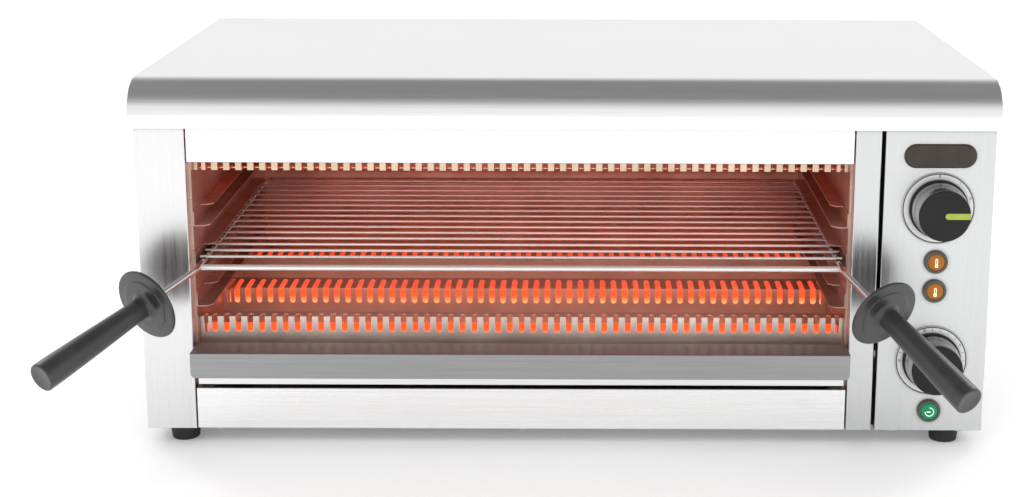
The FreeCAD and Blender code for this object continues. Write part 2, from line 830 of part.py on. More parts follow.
def make_cavity_wall(side):
    body = keep(new_body(f"cavity_wall_{side}"))
    is_left = side == "left"
    face = wall_left if is_left else wall_right
    outward = -1 if is_left else 1
    path = [
        (face + outward * flange_width, front_return), (face, front_return), (face, cavity_back_line),
    ]
    fold_sheet(body, "XY_Plane", base_top, roof_line - base_top, path, is_left)
    ledge_left = face if is_left else face - ledge_width
    ledge = rectangle(ledge_left, front_return, ledge_width, cavity_back_line - front_return)
    pad(body, "XY_Plane", ledge_top - steel, steel, [ledge])
    holes = [
        rectangle(row - cap_hole / 2, height - cap_hole / 2, cap_hole, cap_hole)
        for row in tube_rows for height in (lower_tube_height, upper_tube_height)
    ]
    pocket(body, "YZ_Plane", face - steel if is_left else face, steel, holes)


def make_cavity_back():
    body = keep(new_body("cavity_back"))
    left = wall_left - flange_width
    width = wall_right - wall_left + 2 * flange_width
    pad(body, "XZ_Plane", cavity_back_line, steel, [rectangle(left, base_top, width, roof_line - base_top)])


def make_roof_reflector():
    body = keep(new_body("roof_reflector"))
    left = wall_left - flange_width
    right = wall_right + flange_width
    path = [
        (left, roof_line + front_return), (left, roof_line),
        (right, roof_line), (right, roof_line + front_return),
    ]
    fold_sheet(body, "XZ_Plane", front_return, cavity_back_line + steel - front_return, path, True)


def make_rail(side, level, name):
    body = keep(new_body(f"rail_{side}_{name}"))
    is_left = side == "left"
    face = wall_left if is_left else wall_right
    inward = 1 if is_left else -1
    bottom = rail_bottom + rail_pitch * level
    length = cavity_back_line - rail_end_gap - front_return
    path = [
        (face + inward * rail_floor_width, bottom), (face, bottom),
        (face, bottom + rail_height), (face + inward * rail_roof_width, bottom + rail_height),
    ]
    fold_sheet(body, "XZ_Plane", front_return, length, path, not is_left)
    floor_tip = face + inward * rail_floor_width
    corner = [
        (floor_tip - inward * rail_chamfer, front_return), (floor_tip, front_return),
        (floor_tip, front_return + rail_chamfer),
    ]
    pocket(body, "XY_Plane", bottom, steel, [corner])
    roof_tip = face + inward * rail_roof_width
    web = face + inward * steel
    relief_end = front_return + rail_relief
    relief = [
        (web, front_return), (roof_tip, front_return), (roof_tip, relief_end + rail_chamfer),
        (roof_tip - inward * rail_chamfer, relief_end), (web, relief_end),
    ]
    pocket(body, "XY_Plane", bottom + rail_height - steel, steel, [relief])


# Heaters and guards

slotted_length = 2 * (guard_half_length - end_tab_width - end_notch_width)
slot_count = int(float(slotted_length) / float(slot_pitch))
slot_span = slot_pitch * (slot_count - 1)


def make_guard(label, face, depth, comb_edge, far_edge, slot_length, boxed, open_comb):
    """An angle or a U of slotted sheet; an open comb has its slots cut round the fold, others on the flat."""
    body = keep(new_body(label))
    is_lower = comb_edge.value > far_edge.value
    path = [(face, far_edge), (face, comb_edge), (face + depth, comb_edge)]
    if boxed:
        path.append((face + depth, far_edge))
    left = opening_middle - guard_half_length
    pad(body, "YZ_Plane", left, 2 * guard_half_length, [folded_outline(path, not is_lower)])
    cut_length = slot_length if open_comb else steel
    cut_bottom = comb_edge - cut_length if is_lower else comb_edge
    cut_start = face if open_comb else face + slot_bridge
    reach = face + depth - slot_bridge - cut_start
    first_slot = opening_middle - slot_span / 2 - slot_width / 2
    opening = rectangle(first_slot, cut_bottom, slot_width, cut_length)
    slot = pocket(body, "XZ_Plane", cut_start, reach, [opening])
    repeat(body, [slot], "X_Axis", slot_span, slot_count)
    notch_right = left + 2 * guard_half_length - end_tab_width - end_notch_width
    notches = [
        rectangle(start, cut_bottom, end_notch_width, cut_length)
        for start in (left + end_tab_width, notch_right)
    ]
    pocket(body, "XZ_Plane", cut_start, reach, notches)


def make_guards():
    for row, name in enumerate(("front", "middle", "rear")):
        face = guard_setback + heater_pitch * row
        in_front = row == 0
        depth = front_guard_depth if in_front else guard_depth
        rise = front_guard_rise if in_front else 0
        make_guard(
            f"lower_guard_{name}", face, depth, lower_guard_top + rise, lower_guard_bottom,
            lower_slot_length, not in_front, name != "rear",
        )
        make_guard(
            f"upper_guard_{name}", face, depth, upper_guard_bottom - rise, upper_guard_top,
            upper_slot_length, not in_front, in_front,
        )


tube_left = wall_left + cap_reach - cap_socket
tube_length = wall_right - wall_left - 2 * cap_reach + 2 * cap_socket
tube_bore = tube_diameter - 2 * tube_wall
heater_span = heater_pitch * (heater_count - 1)


def make_tubes(label, height):
    body = keep(new_body(label, many=True))
    rings = [polygon(first_tube, height, across, 12) for across in (tube_diameter, tube_bore)]
    tube = pad(body, "YZ_Plane", tube_left, tube_length, rings)
    repeat(body, [tube], "Y_Axis", heater_span, heater_count)


def make_heater_coils():
    body = keep(new_body("heater_coils", many=True))
    section = polygon(first_tube, lower_tube_height, coil_diameter)
    coil = pad(body, "YZ_Plane", tube_left, tube_length, [section])
    levels = ("Z_Axis", upper_tube_height - lower_tube_height, 2)
    repeat(body, [coil], "Y_Axis", heater_span, heater_count, levels)


def make_tube_caps(side):
    body = keep(new_body(f"tube_caps_{side}", many=True))
    is_left = side == "left"
    face = wall_left + cap_reach - cap_length if is_left else wall_right - cap_reach
    collar = wall_left - steel - fit_gap - cap_flange_length if is_left else wall_right + steel + fit_gap
    socket = wall_left + cap_reach - cap_socket if is_left else wall_right - cap_reach
    block, flange, bore = (
        [polygon(first_tube, lower_tube_height, across, 4)]
        for across in (cap_size, cap_flange_size, tube_diameter + 2 * fit_gap)
    )
    parts = [
        pad(body, "YZ_Plane", face, cap_length, block),
        pad(body, "YZ_Plane", collar, cap_flange_length, flange),
        pocket(body, "YZ_Plane", socket, cap_socket, bore),
    ]
    levels = ("Z_Axis", upper_tube_height - lower_tube_height, 2)
    repeat(body, parts, "Y_Axis", heater_span, heater_count, levels)


# Crumb tray

def make_crumb_tray():
    body = keep(new_body("crumb_tray"))
    pan_left = wall_left + tray_side_clearance
    pan_width = wall_right - wall_left - 2 * tray_side_clearance
    pan_depth = cavity_back_line - tray_end_gap - tray_setback
    pan = rectangle(pan_left, tray_setback, pan_width, pan_depth)
    pad(body, "XY_Plane", tray_bottom, tray_wall_height, [pan])
    hollow = rectangle(pan_left + steel, tray_setback + steel, pan_width - 2 * steel, pan_depth - 2 * steel)
    pocket(body, "XY_Plane", tray_bottom + steel, tray_wall_height - steel, [hollow])
    face_left = opening_left + tray_face_clearance
    face_width = opening_width - 2 * tray_face_clearance
    pad(
        body, "XZ_Plane", tray_setback, steel,
        [rectangle(face_left, tray_bottom, face_width, tray_face_height)],
    )


def make_tray_handle():
    body = keep(new_body("tray_handle"))
    left = opening_left + tray_handle_clearance
    width = opening_width - 2 * tray_handle_clearance
    lip = tray_handle_top - tray_handle_drop
    path = [
        (-tray_handle_reach, lip), (-tray_handle_reach, tray_handle_top),
        (tray_handle_back, tray_handle_top), (tray_handle_back, tray_handle_top - tray_handle_hook),
    ]
    fold_sheet(body, "YZ_Plane", left, width, path, False, True)
    dress(body, "Fillet", tray_corner_radius, lambda edge: runs_along(edge, 1) and lies_at(edge, z=lip))


# Rack

LEFT, RIGHT = -1, 1
handles = {
    LEFT: (left_handle_splay, left_handle_dip),
    RIGHT: (right_handle_splay, right_handle_dip),
}


def handle_direction(side):
    """The way a handle points: out to its side, to the front and down."""
    splay, dip = (math.radians(float(angle)) for angle in handles[side])
    forward = math.cos(dip)
    return Vector(side * math.sin(splay) * forward, -math.cos(splay) * forward, -math.sin(dip))


def rod_corner(side):
    """Where the line of a side rod meets the line of its handle."""
    return Vector(float(opening_middle + side * side_rod_offset), -float(rod_corner_reach), float(rod_height))


def rounded_path(points, radius):
    """Straight runs through the points, joined by tangent arcs."""
    edges = []
    start = points[0]
    for before, corner, after in zip(points, points[1:], points[2:]):
        inward = (corner - before).normalize()
        outward = (after - corner).normalize()
        turn_angle = inward.getAngle(outward)
        setback = radius * math.tan(turn_angle / 2)
        to_centre = (outward - inward).normalize()
        centre = corner + to_centre * (radius / math.cos(turn_angle / 2))
        arc_start = corner - inward * setback
        arc_end = corner + outward * setback
        edges.append(Part.LineSegment(start, arc_start).toShape())
        edges.append(Part.Arc(arc_start, centre - to_centre * radius, arc_end).toShape())
        start = arc_end
    edges.append(Part.LineSegment(start, points[-1]).toShape())
    return Part.Wire(edges)


def make_rack_rod(side, label):
    """A side rod that runs on, bent out and down, as the core of its handle."""
    corner = rod_corner(side)
    handle_end = corner + handle_direction(side) * float(handle_length - grip_end_wall)
    back_end = Vector(corner.x, float(rack_back + rod_diameter / 2), corner.z)
    path = rounded_path([handle_end, corner, back_end], float(rod_bend_radius))
    section = Part.Wire(Part.makeCircle(float(rod_diameter) / 2, handle_end, corner - handle_end))
    rod = keep(doc.addObject("Part::Feature", label))
    rod.Label = label
    rod.Shape = path.makePipeShell([section], True, False)


def make_rack_cross_bars():
    """The front and back bars, welded between the side rods."""
    body = keep(new_body("rack_cross_bars", many=True))
    length = 2 * (side_rod_offset - rod_diameter / 2 + rack_weld)
    bars = [(row, rod_height, rod_diameter) for row in (-front_bar_reach, rack_back)]
    pad(body, "YZ_Plane", opening_middle - length / 2, length, circles=bars)


def make_rack_wires():
    body = keep(new_body("rack_wires", many=True))
    length = 2 * (side_rod_offset + wire_overhang)
    pitch = (rack_back + front_bar_reach) / (wire_count + 1)
    section = polygon(pitch - front_bar_reach, wire_height, wire_diameter, 8)
    wire = pad(body, "YZ_Plane", opening_middle - length / 2, length, [section])
    repeat(body, [wire], "Y_Axis", pitch * (wire_count - 1), wire_count)


def make_grip(side, label):
    """A moulded grip with its hand guard, drawn along the handle's own line from the rod's corner."""
    body = keep(new_body(label))
    rack_face = hand_guard_distance - hand_guard_thickness / 2
    step_start = rack_face + hand_guard_rim
    step_face = rack_face + hand_guard_thickness
    grip_start = step_face + grip_flare
    grip_run = handle_length - grip_start
    neck = polygon(0, 0, grip_root_diameter, narrow_sides)
    pad(body, "XY_Plane", grip_start, grip_run, [neck])
    taper(body, slope((grip_end_diameter - grip_root_diameter) / 2, grip_run), z=grip_start)
    dress(body, "Chamfer", grip_end_bevel, lambda edge: lies_at(edge, z=handle_length))
    up = Vector(0, 0, 1)
    collar_reach = (grip_root_diameter + grip_flare) / 2
    collar = polygon(0, 0, grip_root_diameter + 2 * grip_flare, narrow_sides)
    pad(body, "XY_Plane", step_face, grip_flare, [collar])
    dress(
        body, "Chamfer", grip_flare * 0.9,
        lambda edge: lies_at(edge, z=grip_start) and edge.CenterOfMass.cross(up).Length > float(collar_reach),
    )
    step = polygon(0, 0, hand_guard_step_diameter, wide_sides)
    pad(body, "XY_Plane", step_start, step_face - step_start, [step])
    disc = polygon(0, 0, hand_guard_diameter, wide_sides)
    pad(body, "XY_Plane", rack_face, hand_guard_rim, [disc])
    bore_length = handle_length - grip_end_wall - rack_face
    pocket(body, "XY_Plane", rack_face, bore_length, circles=[(0, 0, rod_diameter + 2 * rod_fit)])
    body.Placement = Placement(rod_corner(side), Rotation(Vector(0, 0, 1), handle_direction(side)))


# Controls

knob_back = -dial_thickness - knob_gap
knob_front = knob_back - knob_length
shaft_front = knob_back - shaft_insertion


def make_control(name, height, pointer_angle, body_label, body_width, body_depth):
    """A dial plate, a knob with its metal skirt, the shaft, and what the shaft turns."""
    dial = keep(new_body(f"{name}_dial"))
    plate = polygon(controls_middle, height, dial_diameter, wide_sides)
    hole = polygon(controls_middle, height, control_hole, 8)
    pad(dial, "XZ_Plane", -dial_thickness, dial_thickness, [plate, hole])

    skirt_back = knob_back - knob_base_thickness
    skirt_front = knob_front + knob_face_thickness
    knob = keep(new_body(f"{name}_knob"))
    base = polygon(controls_middle, height, knob_base_diameter, wide_sides)
    pad(knob, "XZ_Plane", skirt_back, knob_base_thickness, [base])
    core = polygon(controls_middle, height, knob_core_diameter, 12)
    pad(knob, "XZ_Plane", skirt_front, skirt_back - skirt_front, [core])
    face = polygon(controls_middle, height, knob_face_diameter, wide_sides)
    pad(knob, "XZ_Plane", knob_front, knob_face_thickness, [face])
    dress(knob, "Chamfer", knob_edge_bevel, lambda edge: lies_at(edge, y=knob_front))
    bore = polygon(controls_middle, height, shaft_diameter + 2 * rod_fit, 8)
    pocket(knob, "XZ_Plane", shaft_front, shaft_insertion, [bore])
    groove = radial_bar(controls_middle, height, knob_face_diameter / 2, pointer_width, pointer_angle)
    pocket(knob, "XZ_Plane", knob_front, pointer_depth, [groove])

    skirt = keep(new_body(f"{name}_skirt"))
    skirt_length = skirt_back - skirt_front
    pad(skirt, "XZ_Plane", skirt_front, skirt_length, [face])
    taper(skirt, slope((skirt_base_diameter - knob_face_diameter) / 2, skirt_length), y=skirt_front)
    ring = polygon(controls_middle, height, knob_core_diameter + 2 * rod_fit, 12)
    pocket(skirt, "XZ_Plane", skirt_front, skirt_length, [ring])

    shaft = keep(new_body(f"{name}_shaft"))
    pad(
        shaft, "XZ_Plane", shaft_front, steel + bearing_length - shaft_front,
        circles=[(controls_middle, height, shaft_diameter)],
    )

    driven = keep(new_body(body_label))
    half = body_width / 2
    square = rectangle(controls_middle - half, height - half, body_width, body_width)
    pad(driven, "XZ_Plane", steel, body_depth / 3, [square])
    round_part = polygon(controls_middle, height, body_width, narrow_sides)
    pad(driven, "XZ_Plane", steel + body_depth / 3, body_depth * 2 / 3, [round_part])
    bearing = [polygon(controls_middle, height, shaft_diameter + 2 * rod_fit, 8)]
    pocket(driven, "XZ_Plane", steel, bearing_length, bearing)


def make_lamp(name, height):
    """A lamp's bezel with its barrel through the panel, and its lens."""
    bezel = keep(new_body(f"lamp_bezel_{name}"))
    front = -lamp_bezel_height
    rim = polygon(controls_middle, height, lamp_bezel_diameter, narrow_sides)
    pad(bezel, "XZ_Plane", front, lamp_bezel_height, [rim])
    dress(bezel, "Chamfer", lamp_bezel_bevel, lambda edge: lies_at(edge, y=front))
    seat = polygon(controls_middle, height, lamp_lens_diameter + 2 * rod_fit, narrow_sides)
    pocket(bezel, "XZ_Plane", front, lamp_lens_seat, [seat])
    barrel = polygon(controls_middle, height, lamp_barrel_diameter, 12)
    pad(bezel, "XZ_Plane", 0, lamp_barrel_length, [barrel])

    lens = keep(new_body(f"lamp_lens_{name}"))
    lens_front = front + lamp_lens_seat - lamp_lens_height
    glass = polygon(controls_middle, height, lamp_lens_diameter, narrow_sides)
    pad(lens, "XZ_Plane", lens_front, lamp_lens_height, [glass])
    dress(lens, "Chamfer", lamp_lens_bevel, lambda edge: lies_at(edge, y=lens_front))


# Electrics

def make_terminal_block():
    body = keep(new_body("terminal_block"))
    left = gland_middle - terminal_length / 2
    front = back_line - vent_edge_distance - terminal_depth
    block = rectangle(left, front, terminal_length, terminal_depth)
    pad(body, "XY_Plane", base_top, terminal_height, [block])
    pole_pitch = terminal_length / 4
    wells = [
        polygon(left + pole_pitch * (i + 0.5), front + terminal_depth * (j + 0.5) / 2, terminal_well, 4)
        for i in range(4) for j in range(2)
    ]
    pocket(body, "XY_Plane", base_top + terminal_height / 2, terminal_height / 2, wells)


def make_cable_gland():
    """A threaded barrel with a bevelled cap, held by a nut on each side of the back panel."""
    body = keep(new_body("cable_gland"))
    inside = back_line - gland_thread_length
    dome_start = cabinet_depth + gland_nut_thickness
    dome_end = dome_start + gland_dome_length
    thread = polygon(gland_middle, gland_height, gland_thread_diameter, 12)
    pad(body, "XZ_Plane", inside, dome_start - inside, [thread])
    dome = polygon(gland_middle, gland_height, gland_dome_diameter, 12)
    pad(body, "XZ_Plane", dome_start, gland_dome_length, [dome])
    dress(body, "Chamfer", gland_dome_bevel, lambda edge: lies_at(edge, y=dome_end))
    for start in (back_line - gland_nut_thickness, cabinet_depth):
        nut = polygon(gland_middle, gland_height, gland_nut_size)
        pad(body, "XZ_Plane", start, gland_nut_thickness, [nut])
    bore = [(gland_middle, gland_height, gland_bore)]
    pocket(body, "XZ_Plane", inside, dome_end - inside, circles=bore)


make_top_cover()
make_side_panel_left()
make_side_panel_right()
make_back_panel()
make_base_plate()
make_upper_fascia()
make_lower_fascia()
make_control_panel()
make_divider_post()
make_badge_plate()
make_feet()
make_foot_screws()
make_case_screws()
make_cavity_wall("left")
make_cavity_wall("right")
make_cavity_back()
make_roof_reflector()
for rail_side in ("left", "right"):
    for rail_level, rail_name in enumerate(("bottom", "middle", "top")):
        make_rail(rail_side, rail_level, rail_name)
make_guards()
make_tubes("lower_tubes", lower_tube_height)
make_tubes("upper_tubes", upper_tube_height)
make_heater_coils()
make_tube_caps("left")
make_tube_caps("right")
make_crumb_tray()
make_tray_handle()
make_rack_rod(LEFT, "rack_rod_left")
make_rack_rod(RIGHT, "rack_rod_right")
make_rack_cross_bars()
make_rack_wires()
make_grip(LEFT, "grip_left")
make_grip(RIGHT, "grip_right")
make_control("selector", selector_height, 0, "selector_switch", switch_width, switch_depth)
make_control("timer", timer_height, -45, "timer_unit", timer_body_width, timer_body_depth)
make_lamp("upper", upper_lamp_height)
make_lamp("middle", middle_lamp_height)
make_lamp("power", power_lamp_height)
make_terminal_block()
make_cable_gland()

# The origin goes under the middle of the whole part: the left grip's end and the right cover screws give
# its width, the grips' ends and the cable gland its depth.


def grip_reach(side, axis):
    """How far a grip's end stands out from the cabinet's origin along an axis, with its radius."""
    direction = handle_direction(side)
    end = rod_corner(side) + direction * float(handle_length)
    radius = float(grip_end_diameter) / 2 * math.sqrt(1 - direction[axis] ** 2)
    return abs(end[axis]) + radius


reach_left = max(grip_reach(LEFT, 0), -float(cover_left) + float(screw_head_height))
reach_right = -float(cover_left) + float(screw_head_height)
reach_front = max(grip_reach(LEFT, 1), grip_reach(RIGHT, 1))
reach_back = float(cabinet_depth + gland_nut_thickness + gland_dome_length)
middle = Vector((reach_right - reach_left) / 2, (reach_back - reach_front) / 2, 0)

doc.recompute()
for node in nodes:
    node.Placement = Placement(-middle, Rotation()).multiply(node.Placement)
doc.recompute()

failed = [item.Label for item in doc.Objects if "Invalid" in item.State or "Error" in item.State]
failed += [node.Label for node in nodes if node.Shape.isNull() or not node.Shape.isValid()]
if failed:
    raise RuntimeError(f"these pieces failed: {failed}")

os.makedirs("parts", exist_ok=True)
for node in nodes:
    node.Shape.exportStep(f"parts/{node.Label}.step")
print(f"{len(nodes)} pieces, origin at {middle.x:.2f}, {middle.y:.2f} from the cabinet's")
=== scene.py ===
import math

import bmesh
import bpy
from mathutils import Matrix, Vector


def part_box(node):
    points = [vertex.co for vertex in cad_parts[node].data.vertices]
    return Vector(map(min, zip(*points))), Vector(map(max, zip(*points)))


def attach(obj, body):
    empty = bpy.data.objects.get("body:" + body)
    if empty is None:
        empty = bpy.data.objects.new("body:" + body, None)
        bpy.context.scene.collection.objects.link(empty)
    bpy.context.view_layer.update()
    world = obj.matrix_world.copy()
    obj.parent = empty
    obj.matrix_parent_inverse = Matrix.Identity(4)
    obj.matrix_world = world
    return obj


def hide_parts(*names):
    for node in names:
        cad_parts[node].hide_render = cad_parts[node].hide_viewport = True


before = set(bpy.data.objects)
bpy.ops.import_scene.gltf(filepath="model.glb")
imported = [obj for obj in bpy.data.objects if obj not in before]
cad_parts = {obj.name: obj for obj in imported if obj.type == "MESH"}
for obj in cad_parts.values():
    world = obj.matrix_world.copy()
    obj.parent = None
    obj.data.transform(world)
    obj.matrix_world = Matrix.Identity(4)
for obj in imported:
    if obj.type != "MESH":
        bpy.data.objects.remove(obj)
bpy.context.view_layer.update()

# Looks of the counter-top salamander grill. Metres, in the frame of the solids: X to the right, Y to the
# back, Z up. Places are read from the solids' own boxes wherever they can be.

MM = 0.001
X, Y, Z = range(3)


def low(node):
    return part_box(node)[0]


def high(node):
    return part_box(node)[1]


def middle(node):
    return (low(node) + high(node)) / 2


def new_object(name, data):
    thing = bpy.data.objects.new(name, data)
    bpy.context.scene.collection.objects.link(thing)
    return thing


# Camera

IMAGE_WIDTH = 1024
SENSOR_WIDTH = 36
FOCAL_PIXELS = 1699
CAMERA_PLACE = Vector((0.0333, -1.4726, 0.5560))
CAMERA_TILT = math.radians(12.03)
CAMERA_ROLL = math.radians(0.18)
SHIFT_RIGHT_PIXELS = 66.2
SHIFT_DOWN_PIXELS = 110


def make_camera():
    data = bpy.data.cameras.new("camera")
    data.sensor_width = SENSOR_WIDTH
    data.lens = FOCAL_PIXELS * SENSOR_WIDTH / IMAGE_WIDTH
    data.shift_x = -SHIFT_RIGHT_PIXELS / IMAGE_WIDTH
    data.shift_y = -SHIFT_DOWN_PIXELS / IMAGE_WIDTH
    camera = new_object("camera", data)
    camera.location = CAMERA_PLACE
    look = Matrix.Rotation(math.radians(90) - CAMERA_TILT, 4, "X")
    roll = Matrix.Rotation(CAMERA_ROLL, 4, "Z")
    camera.rotation_euler = (look @ roll).to_euler()
    bpy.context.scene.camera = camera


make_camera()


# Shader nodes; their owner is a material or the world

def new_material(name, color=None, roughness=0.5, metallic=0.0, **inputs):
    """A material with a principled shader; inputs are names of its sockets with _ for a space."""
    material = bpy.data.materials.new(name)
    material.use_nodes = True
    shader = material.node_tree.nodes["Principled BSDF"]
    shader.inputs["Roughness"].default_value = roughness
    shader.inputs["Metallic"].default_value = metallic
    if color:
        shader.inputs["Base Color"].default_value = (*color, 1)
    for key, value in inputs.items():
        shader.inputs[key.replace("_", " ")].default_value = value
    return material


def add(owner, kind, **inputs):
    """A node of the owner, with values or links for its inputs."""
    node = owner.node_tree.nodes.new(kind)
    for key, value in inputs.items():
        socket = node.inputs[key.replace("_", " ")]
        if isinstance(value, bpy.types.NodeSocket):
            owner.node_tree.links.new(value, socket)
        else:
            socket.default_value = value
    return node


def plug(owner, value, name, shader="Principled BSDF"):
    """Links a value to an input of the owner's shader."""
    owner.node_tree.links.new(value, owner.node_tree.nodes[shader].inputs[name])


def combine(owner, operation, first, second):
    """Two values added or multiplied."""
    node = add(owner, "ShaderNodeMath")
    node.operation = operation
    for value, socket in zip((first, second), node.inputs):
        owner.node_tree.links.new(value, socket)
    return node.outputs["Value"]


def spread(owner, value, least, most, start=0.3, end=0.7):
    """A value between start and end, spread over least to most."""
    node = add(owner, "ShaderNodeMapRange", Value=value)
    node.inputs["From Min"].default_value = start
    node.inputs["From Max"].default_value = end
    node.inputs["To Min"].default_value = least
    node.inputs["To Max"].default_value = most
    return node.outputs["Result"]


def blend_colors(owner, value, first, second):
    """The first color where the value is 0, and the second where it is 1."""
    node = add(owner, "ShaderNodeMix")
    node.data_type = "RGBA"
    colors = [socket for socket in node.inputs if socket.type == "RGBA"]
    for socket, color in zip(colors, (first, second)):
        if isinstance(color, bpy.types.NodeSocket):
            owner.node_tree.links.new(color, socket)
        else:
            socket.default_value = (*color, 1)
    owner.node_tree.links.new(value, node.inputs[0])
    return next(socket for socket in node.outputs if socket.type == "RGBA")


def own_place(material):
    """The object's own coordinates, which are those of the frame."""
    return add(material, "ShaderNodeTexCoord").outputs["Object"]


def grain(material, waves, detail=3.0):
    """Noise with so many waves to a metre along X, Y and Z."""
    mapping = add(material, "ShaderNodeMapping", Vector=own_place(material), Scale=waves)
    place = mapping.outputs["Vector"]
    return add(material, "ShaderNodeTexNoise", Vector=place, Scale=1.0, Detail=detail).outputs["Fac"]


def even_grain(material, waves, detail=3.0):
    """Noise with the same number of waves to a metre in every direction."""
    return grain(material, (waves,) * 3, detail)


def vary_roughness(material, value, roughness, less, more, start=0.3, end=0.7):
    """Roughness that follows the value, from a little less to a little more than the given one."""
    plug(material, spread(material, value, roughness - less, roughness + more, start, end), "Roughness")


RELIEF_DEPTH = 0.1 * MM
SHEET_EDGE = 0.4 * MM


def bump(material, height, strength, distance=RELIEF_DEPTH, edge=0.0):
    """Relief, over edges that are softened by so many metres."""
    node = add(material, "ShaderNodeBump", Height=height, Strength=strength, Distance=distance)
    if edge:
        soft = add(material, "ShaderNodeBevel", Radius=edge)
        material.node_tree.links.new(soft.outputs["Normal"], node.inputs["Normal"])
    plug(material, node.outputs["Normal"], "Normal")


# Painted shade: an occlusion mask darkens a color in corners, gaps and under overhangs, where shade
# falls.
PAINTED_SHADE_REACH = 4 * MM
PAINTED_SHADE_DEPTH = 0.35
PAINTED_SHADE_SAMPLES = 4
PAINTED_SHADE_OPENNESS = (0.35, 0.95)


def painted_crevice_shade(material, dark, color):
    """A color with painted shade: it goes to a shade of the dark one in corners and gaps."""
    occlusion = add(material, "ShaderNodeAmbientOcclusion", Distance=PAINTED_SHADE_REACH)
    occlusion.samples = PAINTED_SHADE_SAMPLES
    openness = spread(material, occlusion.outputs["AO"], 0, 1, *PAINTED_SHADE_OPENNESS)
    shade = tuple(part * PAINTED_SHADE_DEPTH for part in dark)
    return blend_colors(material, openness, shade, color)


# Kinds of material; streaks come in a coarse and a fine set, so many to a metre, drawn out along one axis

SHEET_STREAKS = (420.0, 1500.0)
FINE_STREAKS = (500.0, 1500.0)
SCREW_STREAKS = (900.0, 2400.0)
SPUN_STREAKS = (160.0, 400.0)
STREAK_STRETCH = 90
CLOUD_SHARE = 0.3


def brushed(name, dark, light, roughness, along, streaks=SHEET_STREAKS, metallic=1.0, relief=0.02):
    """Steel with fine streaks along X, Y or Z and faint clouds, and painted shade in its crevices."""
    material = new_material(name, metallic=metallic)
    sets = []
    for count in streaks:
        waves = [count] * 3
        waves[along] = count / STREAK_STRETCH
        sets.append(grain(material, waves))
    streak = combine(material, "ADD", *sets)
    cloud = even_grain(material, 9.0, detail=2.0)
    tone = blend_colors(material, spread(material, streak, 0, 1, start=0.7, end=1.3), dark, light)
    tint = blend_colors(material, spread(material, cloud, 0, CLOUD_SHARE), tone, dark)
    # The base color is darkened by painted shade in corners and gaps.
    plug(material, painted_crevice_shade(material, dark, tint), "Base Color")
    vary_roughness(material, streak, roughness, less=0.03, more=0.04, start=0.75, end=1.25)
    bump(material, streak, relief, edge=SHEET_EDGE)
    return material


def heat_tinted(name, dark, light, roughness, metallic):
    """Steel inside the cavity: rolled sheet with a brown and straw tint from the heat."""
    material = new_material(name, metallic=metallic)
    cloud = even_grain(material, 24.0, detail=5.0)
    streak = grain(material, (6.0, 300.0, 300.0), detail=2.0)
    tone = blend_colors(material, spread(material, cloud, 0, 1, start=0.35, end=0.65), dark, light)
    plug(material, tone, "Base Color")
    vary_roughness(material, streak, roughness, less=0.05, more=0.08)
    bump(material, streak, 0.02, distance=2 * RELIEF_DEPTH, edge=SHEET_EDGE)
    return material


SPANGLES = 110.0


def spangled(name, dark, light, roughness):
    """Zinc-coated sheet: a skin of crystals, each with its own grey."""
    material = new_material(name, metallic=1.0)
    crystals = add(material, "ShaderNodeTexVoronoi", Vector=own_place(material), Scale=SPANGLES)
    shade = spread(material, crystals.outputs["Color"], 0, 1, start=0.1, end=0.9)
    plug(material, blend_colors(material, shade, dark, light), "Base Color")
    vary_roughness(material, shade, roughness, less=0.05, more=0.06, start=0, end=1)
    bump(material, shade, 0.02, edge=SHEET_EDGE)
    return material


def moulded(name, dark, light, roughness, pits=2600.0, shine=0.5):
    """Moulded plastic or rubber with a fine grain of so many pits to a metre."""
    material = new_material(name, Specular_IOR_Level=shine)
    cloud = even_grain(material, 60.0)
    plug(material, blend_colors(material, spread(material, cloud, 0, 1), dark, light), "Base Color")
    vary_roughness(material, cloud, roughness, less=0.04, more=0.06)
    bump(material, even_grain(material, pits, detail=2.0), 0.04)
    return material


def uneven(material):
    """Soft patches, from 0 to 1."""
    return spread(material, even_grain(material, 70.0), 0, 1)


WIRE_GLOW_HEIGHT = 0.7


def near_heater_wire(material):
    """From 1 at the bottom of the lower tubes, where the heater wire lies, to 0 near their top."""
    split = add(material, "ShaderNodeSeparateXYZ", Vector=own_place(material))
    box_low, box_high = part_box("lower_tubes")
    top = box_low.z + WIRE_GLOW_HEIGHT * (box_high.z - box_low.z)
    return spread(material, split.outputs["Z"], 1, 0, box_low.z, top)


def glowing(name, color, pale, strength, paleness=uneven):
    """A surface that shines in its own color, paler here and there."""
    material = new_material(name, color, roughness=0.35, Emission_Strength=strength)
    plug(material, blend_colors(material, paleness(material), color, pale), "Emission Color")
    return material


def grey(value):
    return (value,) * 3


cover_steel = brushed("cover_brushed", grey(0.81), grey(0.88), 0.22, X)
case_steel = brushed("case_brushed", grey(0.86), grey(0.94), 0.26, X)
post_steel = brushed("post_brushed", grey(0.71), grey(0.77), 0.30, Z)
panel_steel = brushed("panel_brushed", (0.585, 0.595, 0.595), (0.635, 0.645, 0.645), 0.30, Z)
tray_steel = brushed("tray_satin", grey(0.80), grey(0.90), 0.32, X)
handle_steel = brushed("handle_satin", (0.31, 0.31, 0.315), (0.38, 0.38, 0.385), 0.42, X)
cavity_steel = heat_tinted("cavity_heat_tint", (0.50, 0.29, 0.23), (0.66, 0.43, 0.35), 0.32, 0.7)
guard_steel = heat_tinted("guard_heat_tint", (0.70, 0.59, 0.53), (0.84, 0.73, 0.66), 0.34, 0.85)
straw_steel = heat_tinted("straw_heat_tint", (0.68, 0.50, 0.36), (0.80, 0.61, 0.45), 0.34, 0.85)
galvanised = spangled("galvanised_sheet", (0.50, 0.51, 0.52), (0.60, 0.61, 0.62), 0.42)
